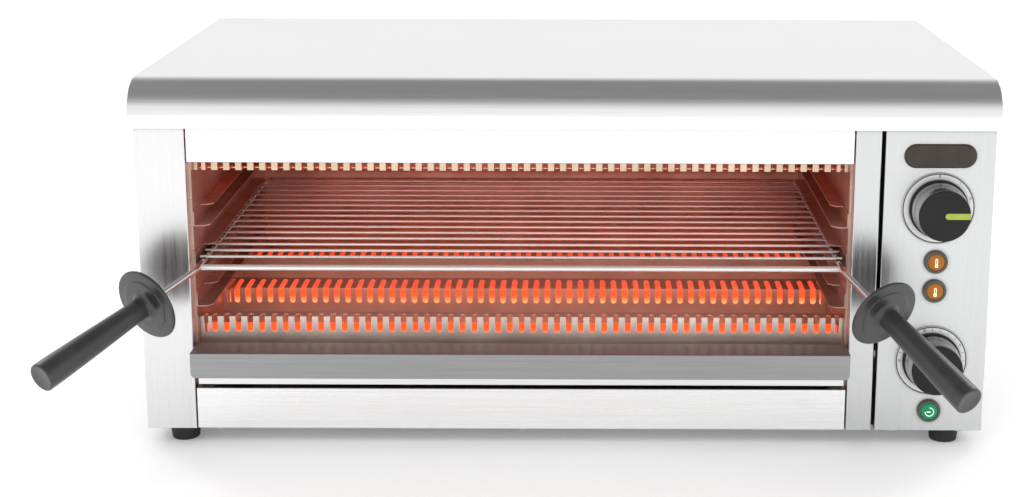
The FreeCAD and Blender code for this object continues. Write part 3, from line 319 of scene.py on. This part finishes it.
wire_steel = brushed(
    "plated_wire", (0.84, 0.80, 0.77), (0.95, 0.92, 0.89), 0.28, X, FINE_STREAKS, metallic=0.7,
)
rod_steel = brushed(
    "plated_rod", (0.80, 0.79, 0.78), (0.86, 0.85, 0.84), 0.20, Y, SPUN_STREAKS, relief=0.0,
)
screw_steel = brushed("screw_steel", grey(0.55), grey(0.75), 0.30, X, SCREW_STREAKS)
skirt_metal = brushed(
    "skirt_spun", (0.42, 0.42, 0.43), (0.50, 0.50, 0.51), 0.20, Y, SPUN_STREAKS, relief=0.0,
)
dial_metal = brushed("dial_face", grey(0.62), grey(0.74), 0.42, X, FINE_STREAKS)
black_plastic = moulded("grip_plastic", (0.020, 0.020, 0.021), (0.028, 0.028, 0.029), 0.30, shine=0.75)
knob_plastic = moulded("knob_plastic", grey(0.012), grey(0.017), 0.48, shine=0.25)
bezel_plastic = moulded("bezel_plastic", (0.055, 0.056, 0.048), (0.10, 0.10, 0.09), 0.30)
foot_rubber = moulded("foot_rubber", grey(0.008), grey(0.022), 0.62, pits=1500.0)
electric_plastic = moulded("electric_plastic", grey(0.06), grey(0.11), 0.45)
ceramic = moulded("ceramic", (0.62, 0.58, 0.50), (0.76, 0.72, 0.64), 0.60, pits=900.0)
badge_lacquer = moulded(
    "badge_lacquer", (0.032, 0.025, 0.019), (0.050, 0.040, 0.031), 0.32, pits=500.0, shine=0.35,
)
# Ink of the figures and ticks, also used for a dark ring of painted shade along each dial's rim.
ink_and_rim_shade = moulded("ink_and_rim_shade", grey(0.03), grey(0.06), 0.5)
pointer_green = moulded("pointer_green", (0.36, 0.46, 0.055), (0.43, 0.54, 0.08), 0.40)
quartz = glowing("quartz_glow", (1.0, 0.07, 0.015), (1.0, 0.40, 0.18), 1.7, near_heater_wire)
heater_wire = glowing("wire_glow", (1.0, 0.30, 0.08), (1.0, 0.45, 0.15), 6.0)
amber_lens = glowing("amber_lens", (0.36, 0.12, 0.006), (0.52, 0.20, 0.012), 0.12)
green_lens = glowing("green_lens", (0.0, 0.17, 0.07), (0.0, 0.26, 0.11), 0.45)
amber_mark = glowing("amber_mark", (1.0, 0.80, 0.45), (1.0, 0.92, 0.70), 1.1)
green_mark = glowing("green_mark", (0.60, 1.0, 0.75), (0.80, 1.0, 0.88), 0.8)


# Solids that keep their shape and get a better material

SIDES = ("left", "right")
ROWS = ("front", "middle", "rear")
RAIL_LEVELS = ("bottom", "middle", "top")
CONTROLS = ("selector", "timer")


def dress_nodes(material, *names):
    for name in names:
        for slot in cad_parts[name].material_slots:
            slot.material = material


dress_nodes(cover_steel, "top_cover")
dress_nodes(case_steel, "upper_fascia", "lower_fascia")
dress_nodes(panel_steel, "control_panel", "divider_post")
dress_nodes(galvanised, "back_panel", "base_plate")
dress_nodes(cavity_steel, "cavity_back", "roof_reflector")
dress_nodes(tray_steel, "crumb_tray")
dress_nodes(handle_steel, "tray_handle")
dress_nodes(wire_steel, "rack_cross_bars")
dress_nodes(ceramic, "terminal_block")
dress_nodes(quartz, "lower_tubes", "upper_tubes")
dress_nodes(heater_wire, "heater_coils")
dress_nodes(screw_steel, "case_screws", "foot_screws", *(f"{name}_shaft" for name in CONTROLS))
dress_nodes(electric_plastic, "selector_switch", "timer_unit", "cable_gland")
dress_nodes(badge_lacquer, "badge_plate")
for side in SIDES:
    dress_nodes(post_steel, f"side_panel_{side}")
    dress_nodes(cavity_steel, f"cavity_wall_{side}", *(f"rail_{side}_{level}" for level in RAIL_LEVELS))
    dress_nodes(rod_steel, f"rack_rod_{side}")
    dress_nodes(ceramic, f"tube_caps_{side}")


# Making pieces

def mesh_object(name, bm, material):
    mesh = bpy.data.meshes.new(name)
    bm.to_mesh(mesh)
    bm.free()
    mesh.materials.append(material)
    return new_object(name, mesh)


SHARP_ANGLE = math.radians(35)


def add_piece(name, bm, material, body, replaced=()):
    """A piece of the scene, smooth but for the edges that turn by more than the sharp angle."""
    bmesh.ops.recalc_face_normals(bm, faces=bm.faces)
    for face in bm.faces:
        face.smooth = True
    for edge in bm.edges:
        if len(edge.link_faces) == 2 and edge.calc_face_angle() > SHARP_ANGLE:
            edge.smooth = False
    piece = mesh_object(name, bm, material)
    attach(piece, body)
    if replaced:
        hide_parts(*replaced)


def arc(centre, radius, start, end, steps=5):
    """Points of a rounded corner of a profile, angles in degrees."""
    angles = [math.radians(start + (end - start) * i / steps) for i in range(steps + 1)]
    return [(centre[0] + radius * math.cos(a), centre[1] + radius * math.sin(a)) for a in angles]


def in_mm(profile):
    return [(first * MM, second * MM) for first, second in profile]


def lathe(bm, profile, place, axis, sides=64):
    """A turned solid; the profile is in (radius, distance along the axis from the place)."""
    turned = Vector(axis).to_track_quat("Z", "Y").to_matrix().to_4x4()
    to_place = Matrix.Translation(place) @ turned
    angles = [2 * math.pi * i / sides for i in range(sides)]
    rings = []
    for radius, along in profile:
        if radius == 0:
            points = [(0, 0, along)]
        else:
            points = [(radius * math.cos(a), radius * math.sin(a), along) for a in angles]
        rings.append([bm.verts.new(to_place @ Vector(point)) for point in points])
    for ring, after in zip(rings, rings[1:]):
        for i in range(sides):
            j = (i + 1) % sides
            corners = [
                ring[i % len(ring)], ring[j % len(ring)], after[j % len(after)], after[i % len(after)],
            ]
            unique = list(dict.fromkeys(corners))
            if len(unique) > 2:
                bm.faces.new(unique)


# Flat shapes face the front: their outlines are in X and Z, and they reach from y to back.

def flat_shape(bm, outline, y, back):
    front = [bm.verts.new((x, y, z)) for x, z in outline]
    rear = [bm.verts.new((x, back, z)) for x, z in outline]
    bm.faces.new(front)
    bm.faces.new(rear[::-1])
    for i in range(len(outline)):
        j = (i + 1) % len(outline)
        bm.faces.new((front[i], front[j], rear[j], rear[i]))


def polar(centre, radius, angle):
    """A point in X and Z round a centre; the angle is in degrees from +X."""
    a = math.radians(angle)
    return centre.x + radius * math.cos(a), centre.z + radius * math.sin(a)


def ring_shape(bm, centre, inner, outer, y, back, start=0.0, end=360.0, steps=72):
    """A ring or a part of one; the steps are those of a whole ring."""
    count = int(steps * (end - start) / 360)
    for i in range(count):
        first, last = (start + (end - start) * (i + j) / count for j in (0, 1))
        corners = ((inner, first), (outer, first), (outer, last), (inner, last))
        flat_shape(bm, [polar(centre, radius, angle) for radius, angle in corners], y, back)


def bar_outline(centre, angle, inner, outer, width):
    """The outline of a radial bar."""
    a = math.radians(angle)
    along = (math.cos(a), math.sin(a))
    across = (-along[1], along[0])
    outline = []
    for radius, side in ((inner, -1), (outer, -1), (outer, 1), (inner, 1)):
        aside = side * width / 2
        outline.append((
            centre.x + along[0] * radius + across[0] * aside,
            centre.z + along[1] * radius + across[1] * aside,
        ))
    return outline


# Rack: smooth wires on the rods

WIRE_COUNT = 15
WIRE_SIDES = 16
WIRE_ROUNDING = 0.4


def make_wires():
    """Straight wires with rounded ends, evenly spread over the depth of their box."""
    box_low, box_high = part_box("rack_wires")
    radius = (box_high.z - box_low.z) / 2
    length = box_high.x - box_low.x
    depth = box_high.y - box_low.y - 2 * radius
    rounding = radius * WIRE_ROUNDING
    start = arc((radius - rounding, rounding), rounding, -90, 0, 3)
    stop = [(r, length - along) for r, along in start[::-1]]
    profile = [(0, 0), *start, *stop, (0, length)]
    bm = bmesh.new()
    for i in range(WIRE_COUNT):
        share = i / (WIRE_COUNT - 1)
        end = Vector((box_low.x, box_low.y + radius + share * depth, box_low.z + radius))
        lathe(bm, profile, end, (1, 0, 0), WIRE_SIDES)
    add_piece("cross_wires", bm, wire_steel, "rack", ["rack_wires"])


make_wires()


# Grips: turned about the rods' own lines, with a parting seam along the top

ROD_RADIUS = 2.5 * MM
# How far a rod's corner, where its straight part turns outwards, is in front of the front cross bar.
CORNER_AHEAD = 4 * MM
# The side that a grip points to, and its splay and dip in degrees.
GRIP_TURNS = {"left": (-1, 34, 16), "right": (1, 29.5, 21.6)}
# Radius and distance from the corner, in mm: the bore, the guard disc, the waist and the dished handle.
GRIP_PROFILE = [
    (0, 64), (2.6, 64), (2.6, 56.7), *arc((28.7, 58.3), 1.6, -90, 90, 8), (25, 60.1), (22.4, 60.4),
    *arc((21.2, 60.5), 0.8, 0, 90, 3), (16, 61.4), *arc((13.6, 66.5), 5.1, -90, -178, 7),
    (8.9, 75), (9.6, 95), (10.5, 120), (11.2, 143), (11.6, 160),
    *arc((10.2, 167.6), 1.4, 0, 90, 4), (8.6, 168.6), (0, 168.6),
]
# The points of the grip's profile that the seam follows, and its own profile across and out, in mm.
SEAM_SPAN = slice(4, -2)
SEAM_PROFILE = [(-0.22, -0.12), (-0.11, 0.12), (0.11, 0.12), (0.22, -0.12)]


def add_seam(bm, profile, place, axis):
    """A fine raised line over a turned solid, in the upright plane through its axis."""
    up = (Vector((0, 0, 1)) - axis * axis.z).normalized()
    aside = axis.cross(up)
    strips = []
    for radius, along in profile:
        spot = place + axis * along
        strips.append([
            bm.verts.new(spot + up * (radius + rise) + aside * across)
            for across, rise in in_mm(SEAM_PROFILE)
        ])
    for strip, after in zip(strips, strips[1:]):
        for i in range(len(SEAM_PROFILE) - 1):
            bm.faces.new((strip[i], strip[i + 1], after[i + 1], after[i]))


def make_grip(side):
    sign, *degrees = GRIP_TURNS[side]
    splay, dip = map(math.radians, degrees)
    rod = f"rack_rod_{side}"
    column = (high(rod).x - ROD_RADIUS) if sign < 0 else (low(rod).x + ROD_RADIUS)
    row = low("rack_cross_bars").y + ROD_RADIUS - CORNER_AHEAD
    corner = Vector((column, row, high(rod).z - ROD_RADIUS))
    axis = Vector((
        sign * math.sin(splay) * math.cos(dip), -math.cos(splay) * math.cos(dip), -math.sin(dip),
    ))
    profile = in_mm(GRIP_PROFILE)
    bm = bmesh.new()
    lathe(bm, profile, corner, axis, sides=72)
    add_seam(bm, profile[SEAM_SPAN], corner, axis)
    add_piece(f"{side}_grip", bm, black_plastic, "rack", [f"grip_{side}"])


for side in SIDES:
    make_grip(side)


# Guards: slotted sheet with round slot ends

SLOT_PITCH = 10 * MM
SLOT_WIDTH = 4.8 * MM
SLOT_BRIDGE = 5 * MM
SLOT_END_STEPS = 4
NOTCH_WIDTH = 3.3 * MM
TAB_WIDTH = 3.2 * MM
SHEET = 1 * MM
WELD_DISTANCE = 0.01 * MM
# The slots of some guards run round the fold and so far over the wall; the others' stay on the flat.
WALL_SLOT_LENGTHS = {"lower": 14 * MM, "upper": 12 * MM}
WALL_SLOTTED = ("lower_guard_front", "lower_guard_middle", "upper_guard_front")
# The stretches of the folded sheet are numbered: its wall, its flat, and behind that a far wall or none.
WALL, FLAT = range(2)


def guard_cells(left, right):
    """The stretches of a guard along X, each as its start, its end and its slot's two sides."""
    count = int((right - left - 2 * (TAB_WIDTH + NOTCH_WIDTH)) / SLOT_PITCH)
    first = (left + right - count * SLOT_PITCH) / 2
    cells = [(left, first, left + TAB_WIDTH, left + TAB_WIDTH + NOTCH_WIDTH)]
    for i in range(count):
        start = first + i * SLOT_PITCH
        slot = start + (SLOT_PITCH - SLOT_WIDTH) / 2
        cells.append((start, start + SLOT_PITCH, slot, slot + SLOT_WIDTH))
    last = first + count * SLOT_PITCH
    cells.append((last, right, right - TAB_WIDTH - NOTCH_WIDTH, right - TAB_WIDTH))
    return cells


def half_cells(cell, start, end, slot_start, slot_end):
    """Both halves of one cell of sheet from start to end, with a slot that may run out at either end."""
    left, right, slot_left, slot_right = cell
    centre = (slot_left + slot_right) / 2
    radius = (slot_right - slot_left) / 2
    for edge, sign in ((left, -1), (right, 1)):
        points = [(edge, start)]
        if slot_start >= end or slot_end <= start:
            points += [(centre, start), (centre, end)]
        else:
            if slot_start > start:
                points.append((centre, start))
                bow = arc((0, slot_start + radius), radius, -90, 0, SLOT_END_STEPS)
                points += [(centre + sign * x, run) for x, run in bow]
            else:
                points.append((centre + sign * radius, start))
            if slot_end < end:
                bow = arc((0, slot_end - radius), radius, 0, 90, SLOT_END_STEPS)
                points += [(centre + sign * x, run) for x, run in bow]
                points.append((centre, end))
            else:
                points.append((centre + sign * radius, end))
        points.append((edge, end))
        yield points


def add_sheet(bm, shapes, on_sheet):
    """Flat shapes of a folded sheet, with both faces and with walls along its free edges."""
    def key(point):
        return tuple(round(value / MM, 2) for value in point)

    uses = {}
    for shape, _ in shapes:
        for pair in zip(shape, shape[1:] + shape[:1]):
            edge = frozenset(map(key, pair))
            uses[edge] = uses.get(edge, 0) + 1
    for shape, stretch in shapes:
        outer = [bm.verts.new(on_sheet(*point, 0, stretch)) for point in shape]
        inner = [bm.verts.new(on_sheet(*point, SHEET, stretch)) for point in shape]
        bm.faces.new(outer)
        bm.faces.new(inner[::-1])
        for i, point in enumerate(shape):
            j = (i + 1) % len(shape)
            if uses[frozenset((key(point), key(shape[j])))] == 1:
                bm.faces.new((outer[i], inner[i], inner[j], outer[j]))
    bmesh.ops.remove_doubles(bm, verts=bm.verts, dist=WELD_DISTANCE)


def make_guard(level, row, material):
    """A folded sheet: a wall, the flat over the tube and, but for the front one, a second wall."""
    node = f"{level}_guard_{row}"
    box_low, box_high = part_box(node)
    comb, far = (box_high.z, box_low.z) if level == "lower" else (box_low.z, box_high.z)
    toward = 1 if comb > far else -1
    rise = abs(comb - far)
    depth = box_high.y - box_low.y
    slot_start = rise - WALL_SLOT_LENGTHS[level] if node in WALL_SLOTTED else rise + SLOT_BRIDGE
    slot_end = rise + depth - SLOT_BRIDGE
    stretches = [(0, rise), (rise, rise + depth)]
    if row != "front":
        stretches.append((rise + depth, 2 * rise + depth))

    def on_sheet(x, run, inset, stretch):
        """A point so far along the folded sheet, and so deep in it, on one of its flat stretches."""
        if stretch == FLAT:
            back = depth if row == "front" else depth - inset
            return Vector((x, box_low.y + min(max(run - rise, inset), back), comb - toward * inset))
        along = run if stretch == WALL else 2 * rise + depth - run
        y = box_low.y + inset if stretch == WALL else box_high.y - inset
        return Vector((x, y, far + toward * min(along, rise - inset)))

    shapes = [
        (shape, stretch)
        for cell in guard_cells(box_low.x, box_high.x)
        for stretch, (start, end) in enumerate(stretches)
        for shape in half_cells(cell, start, end, slot_start, slot_end)
    ]
    bm = bmesh.new()
    add_sheet(bm, shapes, on_sheet)
    add_piece(f"{level}_comb_{row}", bm, material, "cabinet", [node])


for level, material in (("lower", guard_steel), ("upper", straw_steel)):
    for row in ROWS:
        make_guard(level, row, material)


# Feet: hollow below, and a little wider at the top than at the bottom

FOOT_TOP_RADIUS = 13.3 * MM
FOOT_BASE_RADIUS = 11.75 * MM
FOOT_ROUNDING = 1.5 * MM
FOOT_HOLLOW_RADIUS = 6 * MM
FOOT_HOLLOW_DEPTH = 2 * MM
FOOT_SHOULDER = 2 * MM
FOOT_TAPER = 0.3 * MM


def make_feet():
    base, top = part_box("feet")
    height = top.z - base.z
    inside = (FOOT_BASE_RADIUS - FOOT_ROUNDING, FOOT_ROUNDING)
    profile = [
        (0, FOOT_HOLLOW_DEPTH), (FOOT_HOLLOW_RADIUS, FOOT_HOLLOW_DEPTH), (FOOT_HOLLOW_RADIUS, 0),
        *arc(inside, FOOT_ROUNDING, -90, 0), (FOOT_TOP_RADIUS - FOOT_TAPER, height - FOOT_SHOULDER),
        (FOOT_TOP_RADIUS - 2 * FOOT_TAPER, height), (0, height),
    ]
    bm = bmesh.new()
    for x in (base.x + FOOT_TOP_RADIUS, top.x - FOOT_TOP_RADIUS):
        for y in (base.y + FOOT_TOP_RADIUS, top.y - FOOT_TOP_RADIUS):
            lathe(bm, profile, Vector((x, y, base.z)), (0, 0, 1), sides=48)
    add_piece("rubber_feet", bm, foot_rubber, "cabinet", ["feet"])


make_feet()


# Controls: knobs with a metal skirt, turned about their axis from the front backwards, and their dials

BACKWARDS = (0, 1, 0)
CONTROL_SIDES = 96
REST_ANGLES = {"selector": 0, "timer": -45}
# Radius and depth, in mm.
FACE_PROFILE = [(0, 0.15), *arc((20.3, 0.95), 0.8, -90, 0, 4), (21.1, 2.4), (0, 2.4)]
SKIRT_PROFILE = [
    (19.6, 20.6), (23.3, 20.6), (23.3, 19.8), (21.5, 1.0), *arc((20.9, 0.6), 0.5, 0, -90, 3), (19.6, 0),
]
BASE_PROFILE = [(0, 0), *arc((23.75, 0.6), 0.6, -90, 0, 3), (24.35, 3), (19.2, 3), (0, 3)]
SKIRT_FRONT = 2.4 * MM
BASE_THICKNESS = 3 * MM
POINTER_HALF_WIDTH = 2.5 * MM
POINTER_START = 2.7 * MM
POINTER_END = 20.7 * MM
POINTER_FRONT = 0.02 * MM
POINTER_BACK = 0.8 * MM


def make_knob(name):
    node = f"{name}_knob"
    centre = middle(node)
    front = Vector((centre.x, low(node).y, centre.z))
    base_front = Vector((centre.x, high(node).y - BASE_THICKNESS, centre.z))
    bm = bmesh.new()
    lathe(bm, in_mm(BASE_PROFILE), base_front, BACKWARDS, CONTROL_SIDES)
    lathe(bm, in_mm(FACE_PROFILE), front, BACKWARDS, CONTROL_SIDES)
    add_piece(f"{name}_turned_knob", bm, knob_plastic, name, [node])
    bm = bmesh.new()
    lathe(bm, in_mm(SKIRT_PROFILE), front + Vector((0, SKIRT_FRONT, 0)), BACKWARDS, CONTROL_SIDES)
    add_piece(f"{name}_turned_skirt", bm, skirt_metal, name, [f"{name}_skirt"])


def make_pointer(name):
    """A bar on the knob's face, round at its inner end."""
    centre = middle(f"{name}_knob")
    y = low(f"{name}_knob").y
    angle = math.radians(REST_ANGLES[name])
    along = Vector((math.cos(angle), 0, math.sin(angle)))
    across = Vector((-math.sin(angle), 0, math.cos(angle)))
    shape = [(POINTER_START + u, v) for u, v in arc((0, 0), POINTER_HALF_WIDTH, 90, 270, 10)]
    shape += [(POINTER_END, POINTER_HALF_WIDTH * side) for side in (-1, 1)]
    points = [centre + along * u + across * v for u, v in shape]
    bm = bmesh.new()
    flat_shape(bm, [(point.x, point.z) for point in points], y + POINTER_FRONT, y + POINTER_BACK)
    add_piece(f"{name}_pointer", bm, pointer_green, name)


# The bars of a figure: its columns and its levels, from -1 to 1, as on a calculator.
FIGURE_BARS = {
    "top": (0, 1), "upper_left": (-1, 0.5), "upper_right": (1, 0.5), "centre": (0, 0),
    "lower_left": (-1, -0.5), "lower_right": (1, -0.5), "bottom": (0, -1),
}
FIGURES = {
    "0": ("top", "upper_left", "upper_right", "lower_left", "lower_right", "bottom"),
    "1": ("upper_right", "lower_right"),
    "2": ("top", "upper_right", "centre", "lower_left", "bottom"),
    "3": ("top", "upper_right", "centre", "lower_right", "bottom"),
    "5": ("top", "upper_left", "centre", "lower_right", "bottom"),
}
FIGURE_WIDTH = 1.0 * MM
FIGURE_HEIGHT = 2.0 * MM
FIGURE_STROKE = 0.3 * MM
FIGURE_GAP = 0.7 * MM
MARK_DEPTH = 0.08 * MM


def add_figures(bm, centre, text, y):
    """Plain numbers, upright, with their middle at the centre."""
    pitch = FIGURE_WIDTH + FIGURE_GAP
    for i, sign in enumerate(text):
        x = centre[0] + (i - (len(text) - 1) / 2) * pitch
        for bar in FIGURES[sign]:
            column, level = FIGURE_BARS[bar]
            bar_x = x + column * FIGURE_WIDTH / 2
            bar_z = centre[1] + level * FIGURE_HEIGHT / 2
            half_x = (FIGURE_WIDTH if column == 0 else FIGURE_STROKE) / 2
            half_z = (FIGURE_HEIGHT / 2 if column else FIGURE_STROKE) / 2
            corners = ((-1, -1), (1, -1), (1, 1), (-1, 1))
            outline = [(bar_x + u * half_x, bar_z + v * half_z) for u, v in corners]
            flat_shape(bm, outline, y, y + MARK_DEPTH)


DIAL_SHEET = 1 * MM
DIAL_HOLE_RADIUS = 11 * MM
DIAL_ROUNDING = 0.5 * MM
# The dial's face is this far behind the front of its box.
DIAL_FACE = 0.1 * MM
# The outer and inner edge, from the dial's rim, of a dark ring of painted shade along the rim.
RIM_SHADE_OUTER = 0.6 * MM
RIM_SHADE_INNER = 1.5 * MM
FIGURE_RADIUS = 27.3 * MM
TICK_START = 26.4 * MM
TICK_END = 28.0 * MM
TICK_WIDTH = 0.35 * MM
# Angles of the figures and ticks, in degrees from +X.
DIAL_FIGURES = {
    "selector": {90: "0", 52: "1", 18: "2", -16: "3"},
    "timer": {-45: "0", 30: "5", 105: "10", 180: "15"},
}
TIMER_TICKS = range(-30, 180, 15)


def make_dial(name):
    centre = middle(f"{name}_dial")
    box_low, box_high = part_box(f"{name}_dial")
    radius = (box_high.x - box_low.x) / 2
    inside = (radius - DIAL_ROUNDING, DIAL_FACE + DIAL_ROUNDING)
    profile = [
        (DIAL_HOLE_RADIUS, DIAL_SHEET), (DIAL_HOLE_RADIUS, DIAL_FACE),
        *arc(inside, DIAL_ROUNDING, -90, 0, 3), (radius, DIAL_SHEET), (DIAL_HOLE_RADIUS, DIAL_SHEET),
    ]
    bm = bmesh.new()
    lathe(bm, profile, Vector((centre.x, box_low.y, centre.z)), BACKWARDS, CONTROL_SIDES)
    add_piece(f"{name}_turned_dial", bm, dial_metal, "cabinet", [f"{name}_dial"])
    y = box_low.y + DIAL_FACE - MARK_DEPTH
    figures = DIAL_FIGURES[name]
    bm = bmesh.new()
    # Painted shade: a dark ring just inside the rim stands in for the shade at the dial's edge.
    ring_shape(bm, centre, radius - RIM_SHADE_INNER, radius - RIM_SHADE_OUTER, y, y + MARK_DEPTH)
    for angle, text in figures.items():
        add_figures(bm, polar(centre, FIGURE_RADIUS, angle), text, y)
    if name == "timer":
        for angle in TIMER_TICKS:
            if angle not in figures:
                tick = bar_outline(centre, angle, TICK_START, TICK_END, TICK_WIDTH)
                flat_shape(bm, tick, y, y + MARK_DEPTH)
    add_piece(f"{name}_marks", bm, ink_and_rim_shade, "cabinet")


for name in CONTROLS:
    make_knob(name)
    make_pointer(name)
    make_dial(name)


# Lamps: rounded bezels with a barrel through the panel, domed lenses and plain glowing signs

# Radius and depth, in mm; behind the bezel's profile its barrel runs on to the end of its box.
BARREL_RADIUS = 6.5
BEZEL_PROFILE = [
    (0, 2), (7.25, 2), (7.25, 0.5), *arc((7.75, 0.5), 0.5, 180, 270, 3), *arc((8.6, 1.2), 1.2, -90, 0, 5),
    (9.8, 3), (BARREL_RADIUS, 3),
]
LENS_PROFILE = [
    (0, 0), (2.4, 0.05), (4.6, 0.25), (6.0, 0.6), (6.8, 1.1), (7.15, 1.8), (7.15, 3.2), (0, 3.2),
]
SIGN_FRONT = 0.02 * MM
SIGN_BACK = 0.5 * MM
BULB_DROP = 2.6 * MM
BULB_INNER = 0.7 * MM
BULB_OUTER = 1.4 * MM
STEM_DROP = 1.4 * MM
STEM_RISE = 2.6 * MM
STEM_INNER = 0.5 * MM
STEM_OUTER = 1.0 * MM


def thermometer(bm, centre, y, back):
    """A bulb, a stem and a cap."""
    bulb = Vector((centre.x, 0, centre.z - BULB_DROP))
    ring_shape(bm, bulb, BULB_INNER, BULB_OUTER, y, back, steps=24)
    bottom, top = centre.z - STEM_DROP, centre.z + STEM_RISE
    for side in (-1, 1):
        inner, outer = centre.x + side * STEM_INNER, centre.x + side * STEM_OUTER
        flat_shape(bm, [(inner, bottom), (outer, bottom), (outer, top), (inner, top)], y, back)
    ring_shape(bm, Vector((centre.x, 0, top)), STEM_INNER, STEM_OUTER, y, back, 0, 180, steps=24)


CLOCK_INNER = 3.3 * MM
CLOCK_OUTER = 3.9 * MM
HAND_TAIL = 1.0 * MM
HAND_LENGTH = 2.4 * MM
HAND_WIDTH = 0.8 * MM


def running_clock(bm, centre, y, back):
    """A ring with a quarter left open, and one hand."""
    ring_shape(bm, centre, CLOCK_INNER, CLOCK_OUTER, y, back, -180, 90, steps=48)
    flat_shape(bm, bar_outline(centre, 180, -HAND_TAIL, HAND_LENGTH, HAND_WIDTH), y, back)


def make_lamp(lamp, lens_material, sign_material, draw_sign):
    bezel, lens = f"lamp_bezel_{lamp}", f"lamp_lens_{lamp}"
    centre = middle(bezel)
    front, back = low(bezel).y, high(bezel).y
    length = (back - front) / MM
    barrel = [(BARREL_RADIUS, length), (0, length)]
    bm = bmesh.new()
    lathe(bm, in_mm([*BEZEL_PROFILE, *barrel]), Vector((centre.x, front, centre.z)), BACKWARDS)
    add_piece(f"lamp_ring_{lamp}", bm, bezel_plastic, "cabinet", [bezel])
    lens_front = low(lens).y
    bm = bmesh.new()
    lathe(bm, in_mm(LENS_PROFILE), Vector((centre.x, lens_front, centre.z)), BACKWARDS)
    add_piece(f"lamp_dome_{lamp}", bm, lens_material, "cabinet", [lens])
    bm = bmesh.new()
    draw_sign(bm, centre, lens_front - SIGN_FRONT, lens_front + SIGN_BACK)
    add_piece(f"lamp_sign_{lamp}", bm, sign_material, "cabinet")


for lamp in ("upper", "middle"):
    make_lamp(lamp, amber_lens, amber_mark, thermometer)
make_lamp("power", green_lens, green_mark, running_clock)


# Stage: floor, world and lights

FLOOR_SIZE = 14.0
FLOOR_LIFT_NEAR = 0.11
FLOOR_LIFT_FAR = 0.36
LIFT_START = 0.32
LIFT_END = 0.85


def make_floor():
    """White paper; it keeps its shadow near the object, and further off it is seen lifted to white."""
    material = new_material("floor_paper", roughness=0.6, Emission_Color=(1, 1, 1, 1))
    cloud = spread(material, even_grain(material, 1.5), 0, 1)
    plug(material, blend_colors(material, cloud, grey(0.92), grey(0.95)), "Base Color")
    distance = add(material, "ShaderNodeVectorMath", Vector=own_place(material))
    distance.operation = "LENGTH"
    lift = spread(
        material, distance.outputs["Value"], FLOOR_LIFT_NEAR, FLOOR_LIFT_FAR, LIFT_START, LIFT_END,
    )
    rays = add(material, "ShaderNodeLightPath")
    seen = spread(material, rays.outputs["Is Diffuse Ray"], 1, 0, 0, 1)
    plug(material, combine(material, "MULTIPLY", seen, lift), "Emission Strength")
    bm = bmesh.new()
    bmesh.ops.create_grid(bm, x_segments=1, y_segments=1, size=FLOOR_SIZE)
    mesh_object("floor", bm, material)


WORLD_LIGHT = 0.85
WORLD_WHITE = 1.0
DOME_GREY = (0.255, 0.255, 0.257)
DOME_START = 0.22
DOME_END = 0.85


def make_world():
    """White light all round; what is reflected has a grey dome over a white horizon."""
    world = bpy.data.worlds.new("studio")
    world.use_nodes = True
    bpy.context.scene.world = world
    place = add(world, "ShaderNodeTexCoord")
    split = add(world, "ShaderNodeSeparateXYZ", Vector=place.outputs["Generated"])
    dome = spread(world, split.outputs["Z"], 0, 1, DOME_START, DOME_END)
    dome.node.interpolation_type = "SMOOTHSTEP"
    rays = add(world, "ShaderNodeLightPath")
    mirrored_dome = combine(world, "MULTIPLY", dome, rays.outputs["Is Glossy Ray"])
    plug(world, blend_colors(world, mirrored_dome, grey(1), DOME_GREY), "Color", "Background")
    strength = spread(world, rays.outputs["Is Diffuse Ray"], WORLD_WHITE, WORLD_LIGHT, 0, 1)
    plug(world, strength, "Strength", "Background")


def make_lamp_panel(name, place, target, size, power, mirrored=False):
    """A rectangle of light that faces its target; the steel shows it only where it is mirrored."""
    data = bpy.data.lights.new(name, "AREA")
    data.shape = "RECTANGLE"
    data.size, data.size_y = size
    data.energy = power
    lamp = new_object(name, data)
    lamp.location = place
    lamp.rotation_euler = (Vector(target) - Vector(place)).to_track_quat("-Z", "Y").to_euler()
    lamp.visible_glossy = mirrored


OBJECT_MIDDLE = (0, 0, 0.15)

make_floor()
make_world()
make_lamp_panel("key", place=(-1.1, -1.6, 1.9), target=OBJECT_MIDDLE, size=(1.4, 1.0), power=14)
make_lamp_panel("fill", place=(1.5, -1.3, 1.2), target=OBJECT_MIDDLE, size=(1.2, 1.2), power=6)
# A strip behind each side draws a highlight along the grip on that side.
for side, sign in (("left", -1), ("right", 1)):
    make_lamp_panel(
        f"strip_{side}", place=(sign * 1.35, 0.98, 1.36), target=(sign * 0.35, -0.2, 0.12),
        size=(0.3, 1.0), power=5, mirrored=True,
    )

bpy.context.scene.view_settings.view_transform = "Standard"
